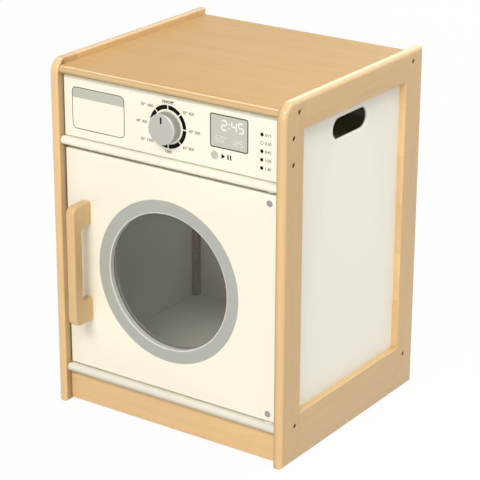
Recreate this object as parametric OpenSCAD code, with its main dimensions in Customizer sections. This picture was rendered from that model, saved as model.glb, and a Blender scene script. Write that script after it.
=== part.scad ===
// Play washing machine: a wooden cabinet with a porthole door and a program knob.
// Millimetres, +Z up, +X to the right of someone who faces the door, +Y to the back.
// The origin is on the floor, under the middle of the whole thing with its handle.

/* [Cabinet] */
// Width over the two side frames
body_w = 400; // [360:5:440]
// Depth of the side frames
body_d = 360; // [330:5:400]
// Height of the side frames
body_h = 530; // [510:5:580]

/* [Side frames] */
// Thickness of the frame members
side_t = 15; // [14:0.5:18]
// Width of the front stile
front_stile_w = 45; // [42:1:55]
// Width of the rear stile
rear_stile_w = 48; // [46:1:60]
// Height of the top rail
top_rail_h = 43; // [40:1:50]
// Height of the bottom rail
bottom_rail_h = 72; // [70:1:85]
// Radius of the front top corner
corner_r = 22; // [10:1:26]
// Thickness of the infill panel
infill_t = 5; // [4:0.5:6]
// How far the infill panel laps behind the frame members
infill_lap = 8; // [5:0.5:10]
// Length of the hand slot
slot_l = 90; // [70:1:110]
// Height of the hand slot
slot_h = 30; // [24:1:34]
// From the top rail down to the middle of the hand slot
slot_drop = 27.5; // [24:0.5:40]

/* [Boards] */
// Thickness of the top board, the middle shelf and the noses of all three boards
board_t = 12; // [11:0.5:14]
// How far the top board lies below the top of the sides
top_drop = 10; // [8:0.5:12]
// How far the board noses stand behind the front of the sides
nose_inset = 4; // [2:0.5:6]
// How far the door, control panel and plinth faces stand behind the front of the sides
face_inset = 13; // [12:0.5:16]
// Height of the control panel
control_h = 92; // [80:1:110]
// Thickness of the control panel and the plinth
panel_t = 15; // [14:0.5:18]
// Gap between the floor and the plinth
plinth_gap = 3; // [2:0.5:6]
// Height of the plinth
plinth_h = 45; // [40:1:50]
// Height of the step in the bottom shelf that stops the door
step_h = 4; // [3:0.5:5]
// Gap between the closed door and that step
stop_gap = 1; // [0.5:0.1:1.5]
// Thickness of the back panel
back_t = 5; // [4:0.5:8]
// From the back of the sides in to the back panel
back_inset = 25; // [20:1:30]
// Side of the square corner battens
batten = 10; // [9:0.5:12]

/* [Door] */
// Thickness of the door
door_t = 15; // [14:0.5:18]
// Gap at the handle side of the door
door_gap_left = 1; // [0.8:0.1:2]
// Gap at the hinge side of the door
door_gap_right = 2.5; // [2:0.1:3.5]
// Gap over the door
door_gap_top = 4.5; // [4:0.1:6]
// Gap under the door
door_gap_bottom = 1.5; // [1.4:0.1:2.2]
// Radius of the porthole
porthole_r = 102; // [85:1:110]
// Bevel around the front of the porthole
porthole_bevel = 1; // [0.5:0.5:3]
// Sideways offset of the porthole from the middle of the door
porthole_dx = -4.25; // [-6:0.25:0]
// Width of the ledge that the window pane lies on
ledge_w = 10; // [8:0.5:12]
// Thickness of the window pane
pane_t = 3; // [2:0.5:4]
// Depth of the pane ledge behind the door's front face
ledge_depth = 8.5; // [7:0.5:9]
// Number of screws in the retaining ring
ring_screws = 6; // [4:1:8]

/* [Door handle] */
// Length of the handle
handle_l = 185; // [150:1:220]
// Width of the handle
handle_w = 15; // [12:0.5:20]
// How far the handle reaches out from the door
handle_reach = 39; // [34:0.5:44]
// Thickness of the grip, measured outwards
grip_t = 19; // [14:0.5:22]
// Height of each foot of the handle
foot_h = 35.5; // [28:0.5:42]
// Radius of the handle's outer corners
handle_r = 12; // [6:0.5:14]
// Radius of the finger gap's corners
gap_r = 8; // [4:0.5:9]
// From the door's edge to the handle
handle_inset = 28; // [22:0.5:34]
// How far the handle's middle lies above the door's middle
handle_rise = 1.5; // [-5:0.5:5]

/* [Hinges] */
// From the hinge side of the door to the pivot
pivot_inset = 15.5; // [14.5:0.5:16.5]
// Radius of the hinge bolt's shank
bolt_r = 3; // [2.5:0.1:3.2]
// Radius of the hinge bolt's head
bolt_head_r = 5.2; // [4.8:0.1:5.6]
// Height of the hinge bolt's head
bolt_head_h = 3.2; // [2.5:0.1:3.4]
// Depth of the pocket that takes the bolt's head
pocket_depth = 4.5; // [4.3:0.1:5]
// Outer radius of the hinge bush
bush_r = 5; // [4.5:0.1:5.4]
// Radius of the bush's flange
flange_r = 7; // [6.5:0.1:7.4]
// Thickness of the bush's flange
flange_t = 1; // [0.8:0.1:1.1]
// Radius of the barrel nut
barrel_r = 4.7; // [4.4:0.1:5]
// Length of the barrel nut
barrel_l = 13; // [12:0.1:13.4]
// From the door's top edge down to the upper barrel nut
barrel_drop = 14.5; // [12:0.5:18]
// From the door's bottom edge up to the lower barrel nut
barrel_rise = 11.5; // [10:0.5:18]

/* [Catch] */
// Length of the catch housing
catch_l = 46; // [44:1:54]
// Depth of the catch housing
catch_d = 14; // [12:0.5:18]
// Height of the catch housing
catch_h = 13; // [12:0.5:15]
// From the door's edge to the middle of the catch
catch_inset = 36; // [32:1:60]
// Length of the strike plate
strike_l = 34; // [30:1:40]
// Height of the strike plate
strike_h = 12; // [10:0.5:14]
// Thickness of the strike plate
strike_t = 1.2; // [1:0.1:1.4]
// From the strike plate to the door's top edge
strike_edge = 1; // [0.5:0.5:3]
// From each end of the catch and of the strike plate to its screw
end_inset = 5; // [4.5:0.5:6]

/* [Program knob] */
// Radius of the knob
knob_r = 22; // [16:0.5:26]
// Thickness of the knob
knob_t = 15; // [12:0.5:18]
// Bevel around the knob's face
knob_bevel = 1; // [0.5:0.25:2]
// Sideways place of the knob on the panel
knob_x = -1; // [-20:1:20]
// Radius of the spindle
spindle_r = 3; // [2:0.1:3.5]
// Thickness of the friction washer
friction_washer_t = 1; // [0.6:0.1:1.5]
// Thickness of the steel washer behind the panel
rear_washer_t = 1.2; // [1:0.1:1.6]
// Width of the lock nut across its flats
nut_af = 10; // [9:0.5:12]
// Thickness of the lock nut
nut_t = 5.5; // [5:0.5:7]
// Thickness of the knob's face over the end of the spindle
knob_face_t = 3; // [2:0.5:4]
// How far the spindle stands out of the lock nut
spindle_tip = 1.5; // [0.5:0.5:3]

/* [Fasteners] */
// Radius of the wooden dowels
dowel_r = 3; // [2.5:0.1:3.2]
// How deep a dowel sits in each piece
dowel_depth = 13; // [10:0.5:13]
// How deep a dowel of the plinth or the shelf sits in the side
side_dowel_depth = 8; // [6:0.5:9]
// From the lower side screws down to the upper dowel of the bottom rail
bottom_dowel_drop = 14; // [12:0.5:18]
// Distance between the two dowels in each end of the bottom rail
bottom_dowel_gap = 22; // [14:1:24]
// Radius of the side screws
side_screw_r = 2.3; // [2:0.1:2.5]
// Radius of the side screws' heads
side_head_r = 3.3; // [3:0.1:3.5]
// Height of the side screws' heads
side_head_h = 3; // [2:0.1:3.2]
// Depth of the holes that take those heads
side_head_depth = 4; // [3.5:0.1:5]
// Length of the side screws under the head
side_screw_l = 45; // [36:1:50]
// From the front of the sides to the front screws of the top board and bottom shelf
front_screw_inset = 33; // [31:0.5:36]
// From the back of the sides to the rear screws
rear_screw_inset = 28.5; // [26:0.5:30]
// Distance between the two screws in each end of the control panel
panel_screw_gap = 37; // [30:1:46]
// Radius of the small wood screws
wood_screw_r = 1.6; // [1.4:0.1:1.8]
// Radius of the longer wood screws
long_screw_r = 2; // [1.8:0.1:2.2]
// Radius of the retaining ring's screws
ring_screw_shank_r = 1.4; // [1.2:0.1:1.6]
// Radius of the strike plate's screws
strike_screw_r = 1.2; // [1:0.1:1.4]
// Length of the strike plate's screws
strike_screw_l = 10; // [8:0.5:11]
// Wood left in front of a screw's tip
screw_skin = 2; // [1.5:0.5:3]

/* [Clearances] */
// Radial gap around dowels, screws and pins
fit_gap = 0.05; // [0.03:0.01:0.1]
// Gap around panels that drop into a rebate
panel_gap = 0.2; // [0.1:0.05:0.4]
// Gap between faces that turn past each other
running_gap = 0.4; // [0.3:0.05:0.5]
// Gap around the door's corner as it swings
sweep_gap = 1.5; // [1:0.1:2]
// Radial gap around the head of a hinge bolt
head_gap = 1; // [0.5:0.1:1.5]

/* [Hidden] */
$fn = 64;

left = -1;
right = 1;
wood = "burlywood";
cream = "cornsilk";

// The modules draw with y = 0 at the front edge of the sides; the handle stands out past it.
overhang = handle_reach - face_inset;
front_y = (overhang - body_d) / 2;

// Inside faces of the sides
inner_x = body_w / 2 - side_t;
inner_w = 2 * inner_x;

// Opening in the side frames
open_y0 = front_stile_w;
open_y1 = body_d - rear_stile_w;
open_z0 = bottom_rail_h;
open_z1 = body_h - top_rail_h;
open_mid_y = (open_y0 + open_y1) / 2;
slot_z = open_z1 - slot_drop;

// Heights of the boards, from the floor up
bottom_z0 = plinth_gap + plinth_h;
bottom_z1 = bottom_z0 + board_t;
floor_z = bottom_z1 + step_h;
top_z1 = body_h - top_drop;
top_z0 = top_z1 - board_t;
middle_z1 = top_z0 - control_h;
middle_z0 = middle_z1 - board_t;
control_mid_z = (middle_z1 + top_z0) / 2;

// Back of the cabinet
back_y1 = body_d - back_inset;
back_y0 = back_y1 - back_t;
batten_y0 = back_y0 - batten;
batten_x0 = inner_x - batten;

// Screws and dowels through the sides
top_screw_z = (top_z0 + top_z1) / 2;
bottom_screw_z = (bottom_z0 + floor_z) / 2;
panel_mid_y = face_inset + panel_t / 2;
rear_screw_y = body_d - rear_screw_inset;
side_screw_spots = [
    [front_screw_inset, top_screw_z], [rear_screw_y, top_screw_z],
    [panel_mid_y, control_mid_z + panel_screw_gap / 2],
    [panel_mid_y, control_mid_z - panel_screw_gap / 2],
    [front_screw_inset, bottom_screw_z], [rear_screw_y, bottom_screw_z]
];
side_head_x0 = body_w / 2 - side_head_depth;
side_screw_x0 = side_head_x0 - side_screw_l;
socket_r = side_head_r * 0.5;
socket_depth = side_head_h * 0.6;
dowel_x = inner_x + side_t / 2;
dowel_spread = side_head_r + 2 * dowel_r + 1;
top_dowel_zs = [top_screw_z - dowel_spread, top_screw_z + dowel_spread];
bottom_dowel_z = bottom_screw_z - bottom_dowel_drop;
bottom_dowel_zs = [bottom_dowel_z, bottom_dowel_z - bottom_dowel_gap];
plinth_dowel_zs = [plinth_gap + plinth_h / 4, plinth_gap + plinth_h * 3 / 4];
shelf_dowel_z = (middle_z0 + middle_z1) / 2;

// Door
door_x0 = -inner_x + door_gap_left;
door_x1 = inner_x - door_gap_right;
door_z0 = bottom_z1 + door_gap_bottom;
door_z1 = middle_z0 - door_gap_top;
door_back = face_inset + door_t;
door_mid_z = (door_z0 + door_z1) / 2;
pivot_x = door_x1 - pivot_inset;
pivot_y = face_inset + door_t / 2;
step_y = door_back + stop_gap;
pivot_sweep_r = norm([pivot_inset, door_t / 2]) + sweep_gap;
porthole_x = (door_x0 + door_x1) / 2 + porthole_dx;
ledge_y = face_inset + ledge_depth;
ledge_r = porthole_r + ledge_w;
ring_screw_r = porthole_r + ledge_w / 2;
ring_pilot_depth = ledge_depth - screw_skin;
ring_screw_turn = 30;
upper_barrel_z = door_z1 - barrel_drop;
lower_barrel_z = door_z0 + barrel_rise;
bolt_tip = barrel_r - running_gap;

// Handle
handle_x0 = door_x0 + handle_inset;
handle_mid_z = door_mid_z + handle_rise;
handle_z0 = handle_mid_z - handle_l / 2;
handle_y0 = face_inset - handle_reach;
gap_z0 = handle_z0 + foot_h;
gap_l = handle_l - 2 * foot_h;
gap_y0 = handle_y0 + grip_t;
handle_screw_zs = [handle_z0 + foot_h / 2, handle_z0 + handle_l - foot_h / 2];
handle_screw_depth = 20;

// Catch, above the door's free edge
catch_x = door_x0 + catch_inset;
catch_y0 = door_back + strike_t + running_gap;
catch_z0 = middle_z0 - catch_h;
magnet = [24, 6, 6];
magnet_z0 = catch_z0 + 1.5;
catch_screw_dx = catch_l / 2 - end_inset;
strike_z0 = door_z1 - strike_h - strike_edge;
strike_screw_dx = strike_l / 2 - end_inset;

// Knob and spindle
knob_z = control_mid_z;
washer_y0 = face_inset - running_gap - friction_washer_t;
knob_y0 = washer_y0 - knob_t;
spindle_y0 = knob_y0 + knob_face_t;
panel_back = face_inset + panel_t;
rear_washer_y0 = panel_back + running_gap;
nut_y0 = rear_washer_y0 + rear_washer_t;

// Back panel screws: down each batten, and along the middle shelf
back_screw_count = 4;
back_screw_margin = 40;
back_screw_step = (top_z0 - floor_z - 2 * back_screw_margin) / (back_screw_count - 1);
back_screw_spots = concat(
    [for (side = [left, right], i = [0:back_screw_count - 1])
        [side * (inner_x - batten / 2), floor_z + back_screw_margin + i * back_screw_step]],
    [for (side = [left, right]) [side * inner_w / 5, shelf_dowel_z]]
);
back_screw_l = back_t + batten - screw_skin;
back_head_r = 3;
back_head_h = 2;

// Screws up through the middle shelf into the control panel
panel_screw_xs = [-inner_w * 0.3, inner_w * 0.3];
panel_screw_l = 34;

/* ---- shared shapes ---- */

module place() { translate([0, front_y, 0]) children(); }

// Draws for the right side of the cabinet, mirrored when side is left
module on_side(side) { mirror([side == left ? 1 : 0, 0, 0]) children(); }

// Extrudes an outline drawn in y and z along x
module slab_x(x0, w) {
    translate([x0, 0, 0]) rotate([90, 0, 90]) linear_extrude(w) children();
}

module box(low, high) { translate(low) cube(high - low); }

module rod_x(r, x0, x1, y, z) {
    translate([x0, y, z]) rotate([0, 90, 0]) cylinder(r = r, h = x1 - x0);
}

module rod_y(r, y0, y1, x, z) {
    translate([x, y0, z]) rotate([-90, 0, 0]) cylinder(r = r, h = y1 - y0);
}

module rod_z(r, z0, z1, x, y) {
    translate([x, y, z0]) cylinder(r = r, h = z1 - z0);
}

// Oblong from y0 to y1 and z0 to z1 with its two front corners rounded
module round_front(y0, y1, z0, z1, r) {
    translate([y0 + r, z0]) square([y1 - y0 - r, z1 - z0]);
    translate([y0, z0 + r]) square([r, z1 - z0 - 2 * r]);
    for (z = [z0 + r, z1 - r]) translate([y0 + r, z]) circle(r);
}

// Board section with a half-round nose at the front
module nosed(y1, z0, t) {
    translate([nose_inset + t / 2, z0]) square([y1 - nose_inset - t / 2, t]);
    translate([nose_inset + t / 2, z0 + t / 2]) circle(t / 2);
}

// Countersunk screw that points along +z from its head's flat face
module countersunk(r, l, grow = 0) {
    head = 2 * r;
    cylinder(r1 = head + grow, r2 = r + grow, h = r);
    cylinder(r = r + grow, h = l + grow);
}

// Pan head screw: the head's underside is at z = 0 and the shank points along +z
module pan_head(r, l, head_r, head_h) {
    translate([0, 0, -head_h]) cylinder(r = head_r, h = head_h);
    cylinder(r = r, h = l);
}

/* ---- side frames ---- */

module side_screw_holes() {
    for (spot = side_screw_spots) {
        rod_x(side_screw_r + 4 * fit_gap, inner_x - 1, side_head_x0 + 1, spot[0], spot[1]);
        rod_x(side_head_r + 4 * fit_gap, side_head_x0, body_w / 2 + 1, spot[0], spot[1]);
    }
}

module frame_dowel_set(grow = 0) {
    for (joint = [open_y0, open_y1], z = concat(top_dowel_zs, bottom_dowel_zs))
        rod_y(dowel_r + grow, joint - dowel_depth - 4 * grow, joint + dowel_depth + 4 * grow,
            dowel_x, z);
}

module infill_rebate() {
    box([inner_x - 1, open_y0 - infill_lap, open_z0 - infill_lap],
        [inner_x + infill_t, open_y1 + infill_lap, open_z1 + infill_lap]);
}

module side_member() {
    difference() {
        children();
        infill_rebate();
        frame_dowel_set(fit_gap);
        side_screw_holes();
        cross_dowel_set(fit_gap);
    }
}

module front_stile() {
    color(wood) side_member() slab_x(inner_x, side_t) {
        translate([corner_r, 0]) square([open_y0 - corner_r, body_h]);
        square([corner_r, body_h - corner_r]);
        translate([corner_r, body_h - corner_r]) circle(corner_r);
    }
}

module rear_stile() {
    color(wood) side_member() slab_x(inner_x, side_t)
        translate([open_y1, 0]) square([rear_stile_w, body_h]);
}

module rail(z0, h) {
    color(wood) side_member() slab_x(inner_x, side_t)
        translate([open_y0, z0]) square([open_y1 - open_y0, h]);
}

module infill_panel() {
    lap = infill_lap - panel_gap;
    color(cream) slab_x(inner_x, infill_t) difference() {
        translate([open_y0 - lap, open_z0 - lap])
            square([open_y1 - open_y0 + 2 * lap, open_z1 - open_z0 + 2 * lap]);
        translate([open_mid_y, slot_z]) {
            square([slot_l - slot_h, slot_h], center = true);
            for (end = [-1, 1]) translate([end * (slot_l - slot_h) / 2, 0]) circle(slot_h / 2);
        }
    }
}

module frame_dowels() { color("tan") frame_dowel_set(); }

module side_screws() {
    color("dimgray") for (spot = side_screw_spots) difference() {
        union() {
            rod_x(side_screw_r, side_screw_x0, side_head_x0, spot[0], spot[1]);
            rod_x(side_head_r, side_head_x0, side_head_x0 + side_head_h, spot[0], spot[1]);
        }
        translate([side_head_x0 + side_head_h - socket_depth, spot[0], spot[1]])
            rotate([0, 90, 0]) cylinder(r = socket_r, h = socket_depth + 1, $fn = 6);
    }
}

/* ---- boards ---- */

// Bores in both ends of a board for the side screws that reach it
module side_screw_pilots() {
    for (side = [left, right], spot = side_screw_spots) on_side(side)
        rod_x(side_screw_r + fit_gap, side_screw_x0 - 1, inner_x + 1, spot[0], spot[1]);
}

// Dowels between the sides and the plinth and middle shelf
module cross_dowel_set(grow = 0) {
    for (side = [left, right]) on_side(side) {
        for (z = plinth_dowel_zs)
            rod_x(dowel_r + grow, inner_x - dowel_depth - 4 * grow,
                inner_x + side_dowel_depth + 4 * grow, panel_mid_y, z);
        rod_x(dowel_r + grow, inner_x - dowel_depth - 4 * grow,
            inner_x + side_dowel_depth + 4 * grow, front_screw_inset, shelf_dowel_z);
    }
}

module cross_dowels() { color("tan") cross_dowel_set(); }

module top_board() {
    color(wood) difference() {
        slab_x(-inner_x, inner_w) nosed(body_d, top_z0, board_t);
        side_screw_pilots();
    }
}

// Bore for a hinge bush and pocket for its bolt's head; dir points from the door to the head
module hinge_seat(face_z, dir) {
    translate([pivot_x, pivot_y, face_z]) scale_z(dir) {
        translate([0, 0, -1]) cylinder(r = bush_r + fit_gap, h = board_t);
        translate([0, 0, board_t - pocket_depth])
            cylinder(r = bolt_head_r + head_gap, h = pocket_depth + 1);
    }
}

// Leaves a shape as it is for 1 and turns it upside down for -1
module scale_z(dir) { mirror([0, 0, dir < 0 ? 1 : 0]) children(); }

module middle_shelf() {
    color(cream) difference() {
        slab_x(-inner_x, inner_w) nosed(back_y0, middle_z0, board_t);
        for (side = [left, right]) on_side(side)
            box([batten_x0 - panel_gap, batten_y0 - panel_gap, middle_z0 - 1],
                [inner_x + 1, back_y0 + 1, middle_z1 + 1]);
        cross_dowel_set(fit_gap);
        panel_screw_set(fit_gap);
        back_screw_set(fit_gap);
        catch_screw_set(fit_gap);
        hinge_seat(middle_z0, 1);
    }
}

module bottom_shelf() {
    color(cream) difference() {
        slab_x(-inner_x, inner_w) {
            nosed(body_d, bottom_z0, board_t);
            translate([step_y, bottom_z0]) square([body_d - step_y, floor_z - bottom_z0]);
        }
        rod_z(pivot_sweep_r, bottom_z1, floor_z + 1, pivot_x, pivot_y);
        side_screw_pilots();
        hinge_seat(bottom_z1, -1);
    }
}

module control_panel() {
    color(cream) difference() {
        box([-inner_x, face_inset, middle_z1], [inner_x, panel_back, top_z0]);
        side_screw_pilots();
        panel_screw_set(fit_gap);
        rod_y(spindle_r + fit_gap, face_inset - 1, panel_back + 1, knob_x, knob_z);
    }
}

module panel_screw_set(grow = 0) {
    for (x = panel_screw_xs) translate([x, panel_mid_y, middle_z0])
        countersunk(long_screw_r, panel_screw_l, grow);
}

module control_panel_screws() { color("silver") panel_screw_set(); }

module plinth() {
    color(wood) difference() {
        box([-inner_x, face_inset, plinth_gap], [inner_x, panel_back, bottom_z0]);
        cross_dowel_set(fit_gap);
    }
}

/* ---- back ---- */

module back_screw_set(grow = 0) {
    for (spot = back_screw_spots) translate([spot[0], back_y1, spot[1]]) rotate([90, 0, 0])
        pan_head(wood_screw_r + grow, back_screw_l + 4 * grow, back_head_r, back_head_h);
}

module back_panel() {
    color(cream) difference() {
        box([-inner_x + panel_gap, back_y0, floor_z], [inner_x - panel_gap, back_y1, top_z0]);
        back_screw_set(fit_gap);
    }
}

module back_panel_screws() { color("silver") back_screw_set(); }

module corner_batten() {
    color(wood) difference() {
        box([batten_x0, batten_y0, floor_z], [inner_x, back_y0, top_z0]);
        back_screw_set(fit_gap);
    }
}

/* ---- hinges ---- */

// Flanged bush with its flange on the door side of a shelf
module hinge_bush(face_z, dir) {
    color("whitesmoke") translate([pivot_x, pivot_y, face_z]) scale_z(dir) difference() {
        union() {
            translate([0, 0, -flange_t]) cylinder(r = flange_r, h = flange_t);
            cylinder(r = bush_r, h = board_t - pocket_depth);
        }
        translate([0, 0, -flange_t - 1]) cylinder(r = bolt_r + fit_gap, h = board_t);
    }
}

// Bolt from its head in the shelf to its tip in the barrel nut
module hinge_bolt(face_z, dir, reach) {
    head_z = board_t - pocket_depth + running_gap;
    color("silver") translate([pivot_x, pivot_y, face_z]) scale_z(dir) difference() {
        union() {
            translate([0, 0, head_z]) cylinder(r = bolt_head_r, h = bolt_head_h);
            translate([0, 0, -reach]) cylinder(r = bolt_r, h = reach + head_z);
        }
        translate([0, 0, head_z + bolt_head_h / 2]) cylinder(r = bolt_r * 0.7, h = bolt_head_h, $fn = 6);
    }
}

module hinge_barrel_nuts() {
    color("gray") difference() {
        for (z = [upper_barrel_z, lower_barrel_z])
            rod_y(barrel_r, face_inset, face_inset + barrel_l, pivot_x, z);
        rod_z(bolt_r + fit_gap, door_z0, door_z1, pivot_x, pivot_y);
    }
}

module hinge_spacer() {
    top = middle_z0 - flange_t - running_gap;
    color("whitesmoke") difference() {
        rod_z(bolt_r * 2, door_z1, top, pivot_x, pivot_y);
        rod_z(bolt_r + 2 * fit_gap, door_z1 - 1, top + 1, pivot_x, pivot_y);
    }
}

/* ---- catch ---- */

module catch_screw_set(grow = 0) {
    for (side = [-1, 1])
        translate([catch_x + side * catch_screw_dx, catch_y0 + catch_d / 2, catch_z0])
            countersunk(wood_screw_r, catch_h + board_t - screw_skin, grow);
}

module magnet_block(grow = 0) {
    box([catch_x - magnet.x / 2 - grow, catch_y0 - (grow > 0 ? 1 : 0), magnet_z0 - grow],
        [catch_x + magnet.x / 2 + grow, catch_y0 + magnet.y + grow, magnet_z0 + magnet.z + grow]);
}

module magnet_catch() {
    color("white") difference() {
        box([catch_x - catch_l / 2, catch_y0, catch_z0],
            [catch_x + catch_l / 2, catch_y0 + catch_d, middle_z0]);
        magnet_block(fit_gap);
        catch_screw_set(fit_gap);
    }
}

module catch_magnet() { color("dimgray") magnet_block(); }

module catch_screws() { color("silver") catch_screw_set(); }

module strike_screw_set(grow = 0) {
    for (side = [-1, 1])
        translate([catch_x + side * strike_screw_dx, door_back + strike_t, strike_z0 + strike_h / 2])
            rotate([90, 0, 0]) countersunk(strike_screw_r, strike_screw_l, grow);
}

module strike_plate() {
    color("silver") difference() {
        box([catch_x - strike_l / 2, door_back, strike_z0],
            [catch_x + strike_l / 2, door_back + strike_t, strike_z0 + strike_h]);
        strike_screw_set(fit_gap);
    }
}

module strike_plate_screws() { color("gray") strike_screw_set(); }

/* ---- door ---- */

module ring_screw_set(grow = 0) {
    for (i = [0:ring_screws - 1]) {
        turn = ring_screw_turn + i * 360 / ring_screws;
        translate([porthole_x + ring_screw_r * cos(turn), door_back, door_mid_z + ring_screw_r * sin(turn)])
            rotate([90, 0, 0])
                countersunk(ring_screw_shank_r, door_back - ledge_y + ring_pilot_depth, grow);
    }
}

module handle_screw_set(grow = 0) {
    for (z = handle_screw_zs) translate([handle_x0 + handle_w / 2, door_back, z]) rotate([90, 0, 0])
        countersunk(long_screw_r, door_t + handle_screw_depth, grow);
}

module door_panel() {
    color(cream) difference() {
        box([door_x0, face_inset, door_z0], [door_x1, door_back, door_z1]);
        rod_y(porthole_r, face_inset - 1, door_back + 1, porthole_x, door_mid_z);
        translate([porthole_x, face_inset, door_mid_z]) rotate([-90, 0, 0])
            cylinder(r1 = porthole_r + porthole_bevel, r2 = porthole_r, h = porthole_bevel);
        rod_y(ledge_r, ledge_y, door_back + 1, porthole_x, door_mid_z);
        ring_screw_set(fit_gap);
        handle_screw_set(fit_gap);
        strike_screw_set(fit_gap);
        for (z = [upper_barrel_z, lower_barrel_z])
            rod_y(barrel_r + 2 * fit_gap, face_inset - 1, face_inset + barrel_l + 4 * fit_gap, pivot_x, z);
        rod_z(bolt_r + 2 * fit_gap, upper_barrel_z - barrel_r - 1, door_z1 + 1, pivot_x, pivot_y);
        rod_z(bolt_r + 2 * fit_gap, door_z0 - 1, lower_barrel_z + barrel_r + 1, pivot_x, pivot_y);
    }
}

module window_pane() {
    color("slategray", 0.6) difference() {
        rod_y(ledge_r - panel_gap, ledge_y, ledge_y + pane_t, porthole_x, door_mid_z);
        ring_screw_set(2 * fit_gap);
    }
}

module pane_retaining_ring() {
    color(cream) difference() {
        rod_y(ledge_r - panel_gap, ledge_y + pane_t, door_back, porthole_x, door_mid_z);
        rod_y(porthole_r, ledge_y, door_back + 1, porthole_x, door_mid_z);
        ring_screw_set(fit_gap);
    }
}

module retaining_ring_screws() { color("silver") ring_screw_set(); }

module door_handle() {
    color(wood) difference() {
        slab_x(handle_x0, handle_w) difference() {
            round_front(handle_y0, face_inset, handle_z0, handle_z0 + handle_l, handle_r);
            round_front(gap_y0, face_inset + gap_r, gap_z0, gap_z0 + gap_l, gap_r);
        }
        handle_screw_set(fit_gap);
    }
}

module door_handle_screws() { color("silver") handle_screw_set(); }

/* ---- program knob ---- */

module program_knob() {
    color("silver") difference() {
        translate([knob_x, knob_y0, knob_z]) rotate([-90, 0, 0]) {
            cylinder(r1 = knob_r - knob_bevel, r2 = knob_r, h = knob_bevel);
            translate([0, 0, knob_bevel]) cylinder(r = knob_r, h = knob_t - knob_bevel);
        }
        rod_y(spindle_r + fit_gap, spindle_y0 - fit_gap, washer_y0 + 1, knob_x, knob_z);
    }
}

module knob_spindle() {
    color("gray") rod_y(spindle_r, spindle_y0, nut_y0 + nut_t + spindle_tip, knob_x, knob_z);
}

module knob_washer(y0, t, r) {
    difference() {
        rod_y(r, y0, y0 + t, knob_x, knob_z);
        rod_y(spindle_r + 2 * fit_gap, y0 - 1, y0 + t + 1, knob_x, knob_z);
    }
}

module knob_friction_washer() { color("whitesmoke") knob_washer(washer_y0, friction_washer_t, spindle_r * 3); }

module knob_rear_washer() { color("silver") knob_washer(rear_washer_y0, rear_washer_t, spindle_r * 2.1); }

module knob_lock_nut() {
    color("gray") difference() {
        translate([knob_x, nut_y0, knob_z]) rotate([-90, 0, 0])
            cylinder(r = nut_af / 2 / cos(30), h = nut_t, $fn = 6);
        rod_y(spindle_r + fit_gap, nut_y0 - 1, nut_y0 + nut_t + 1, knob_x, knob_z);
    }
}

place() on_side(left) front_stile();  // left_front_stile
place() on_side(right) front_stile();  // right_front_stile
place() on_side(left) rear_stile();  // left_rear_stile
place() on_side(right) rear_stile();  // right_rear_stile
place() on_side(left) rail(open_z1, top_rail_h);  // left_top_rail
place() on_side(right) rail(open_z1, top_rail_h);  // right_top_rail
place() on_side(left) rail(0, bottom_rail_h);  // left_bottom_rail
place() on_side(right) rail(0, bottom_rail_h);  // right_bottom_rail
place() on_side(left) infill_panel();  // left_infill_panel
place() on_side(right) infill_panel();  // right_infill_panel
place() on_side(left) frame_dowels();  // left_frame_dowels
place() on_side(right) frame_dowels();  // right_frame_dowels
place() on_side(left) side_screws();  // left_side_screws
place() on_side(right) side_screws();  // right_side_screws
place() top_board();
place() middle_shelf();
place() bottom_shelf();
place() control_panel();
place() control_panel_screws();
place() plinth();
place() cross_dowels();
place() back_panel();
place() back_panel_screws();
place() on_side(left) corner_batten();  // left_corner_batten
place() on_side(right) corner_batten();  // right_corner_batten
place() hinge_bush(middle_z0, 1);  // upper_hinge_bush
place() hinge_bush(bottom_z1, -1);  // lower_hinge_bush
place() magnet_catch();
place() catch_magnet();
place() catch_screws();
place() door_panel();
place() window_pane();
place() pane_retaining_ring();
place() retaining_ring_screws();
place() door_handle();
place() door_handle_screws();
place() hinge_barrel_nuts();
place()  // upper_hinge_bolt
    hinge_bolt(middle_z0, 1, middle_z0 - upper_barrel_z + bolt_tip);
place()  // lower_hinge_bolt
    hinge_bolt(bottom_z1, -1, lower_barrel_z - bottom_z1 + bolt_tip);
place() hinge_spacer();
place() strike_plate();
place() strike_plate_screws();
place() program_knob();
place() knob_spindle();
place() knob_friction_washer();
place() knob_rear_washer();
place() knob_lock_nut();
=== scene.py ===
# Play washing machine: a wooden cabinet, a porthole door and a program knob.
# Everything is in metres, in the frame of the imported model: +Z up, -Y towards the viewer.
import math

import bmesh
import bpy
import numpy as np
from mathutils import Matrix, Vector
from mathutils.geometry import tessellate_polygon


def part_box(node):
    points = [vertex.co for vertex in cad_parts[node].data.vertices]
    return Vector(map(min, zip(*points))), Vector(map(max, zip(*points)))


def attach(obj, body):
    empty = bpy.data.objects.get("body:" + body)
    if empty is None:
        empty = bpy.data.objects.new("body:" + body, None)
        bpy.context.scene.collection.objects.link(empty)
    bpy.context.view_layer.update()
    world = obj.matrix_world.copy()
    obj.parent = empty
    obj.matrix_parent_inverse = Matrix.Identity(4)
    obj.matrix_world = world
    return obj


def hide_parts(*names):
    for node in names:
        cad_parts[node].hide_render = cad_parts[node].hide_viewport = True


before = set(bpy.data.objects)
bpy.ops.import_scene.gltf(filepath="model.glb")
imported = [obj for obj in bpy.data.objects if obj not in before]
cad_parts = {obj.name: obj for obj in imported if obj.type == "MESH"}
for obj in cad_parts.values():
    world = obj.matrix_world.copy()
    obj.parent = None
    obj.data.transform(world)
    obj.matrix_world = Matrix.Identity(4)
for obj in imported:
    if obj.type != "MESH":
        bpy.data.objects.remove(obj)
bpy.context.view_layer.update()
mm = 0.001
print("frame loaded:", len(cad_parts), "nodes")

# small tools for the scene and for shader nodes


def show(thing):
    bpy.context.scene.collection.objects.link(thing)


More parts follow.
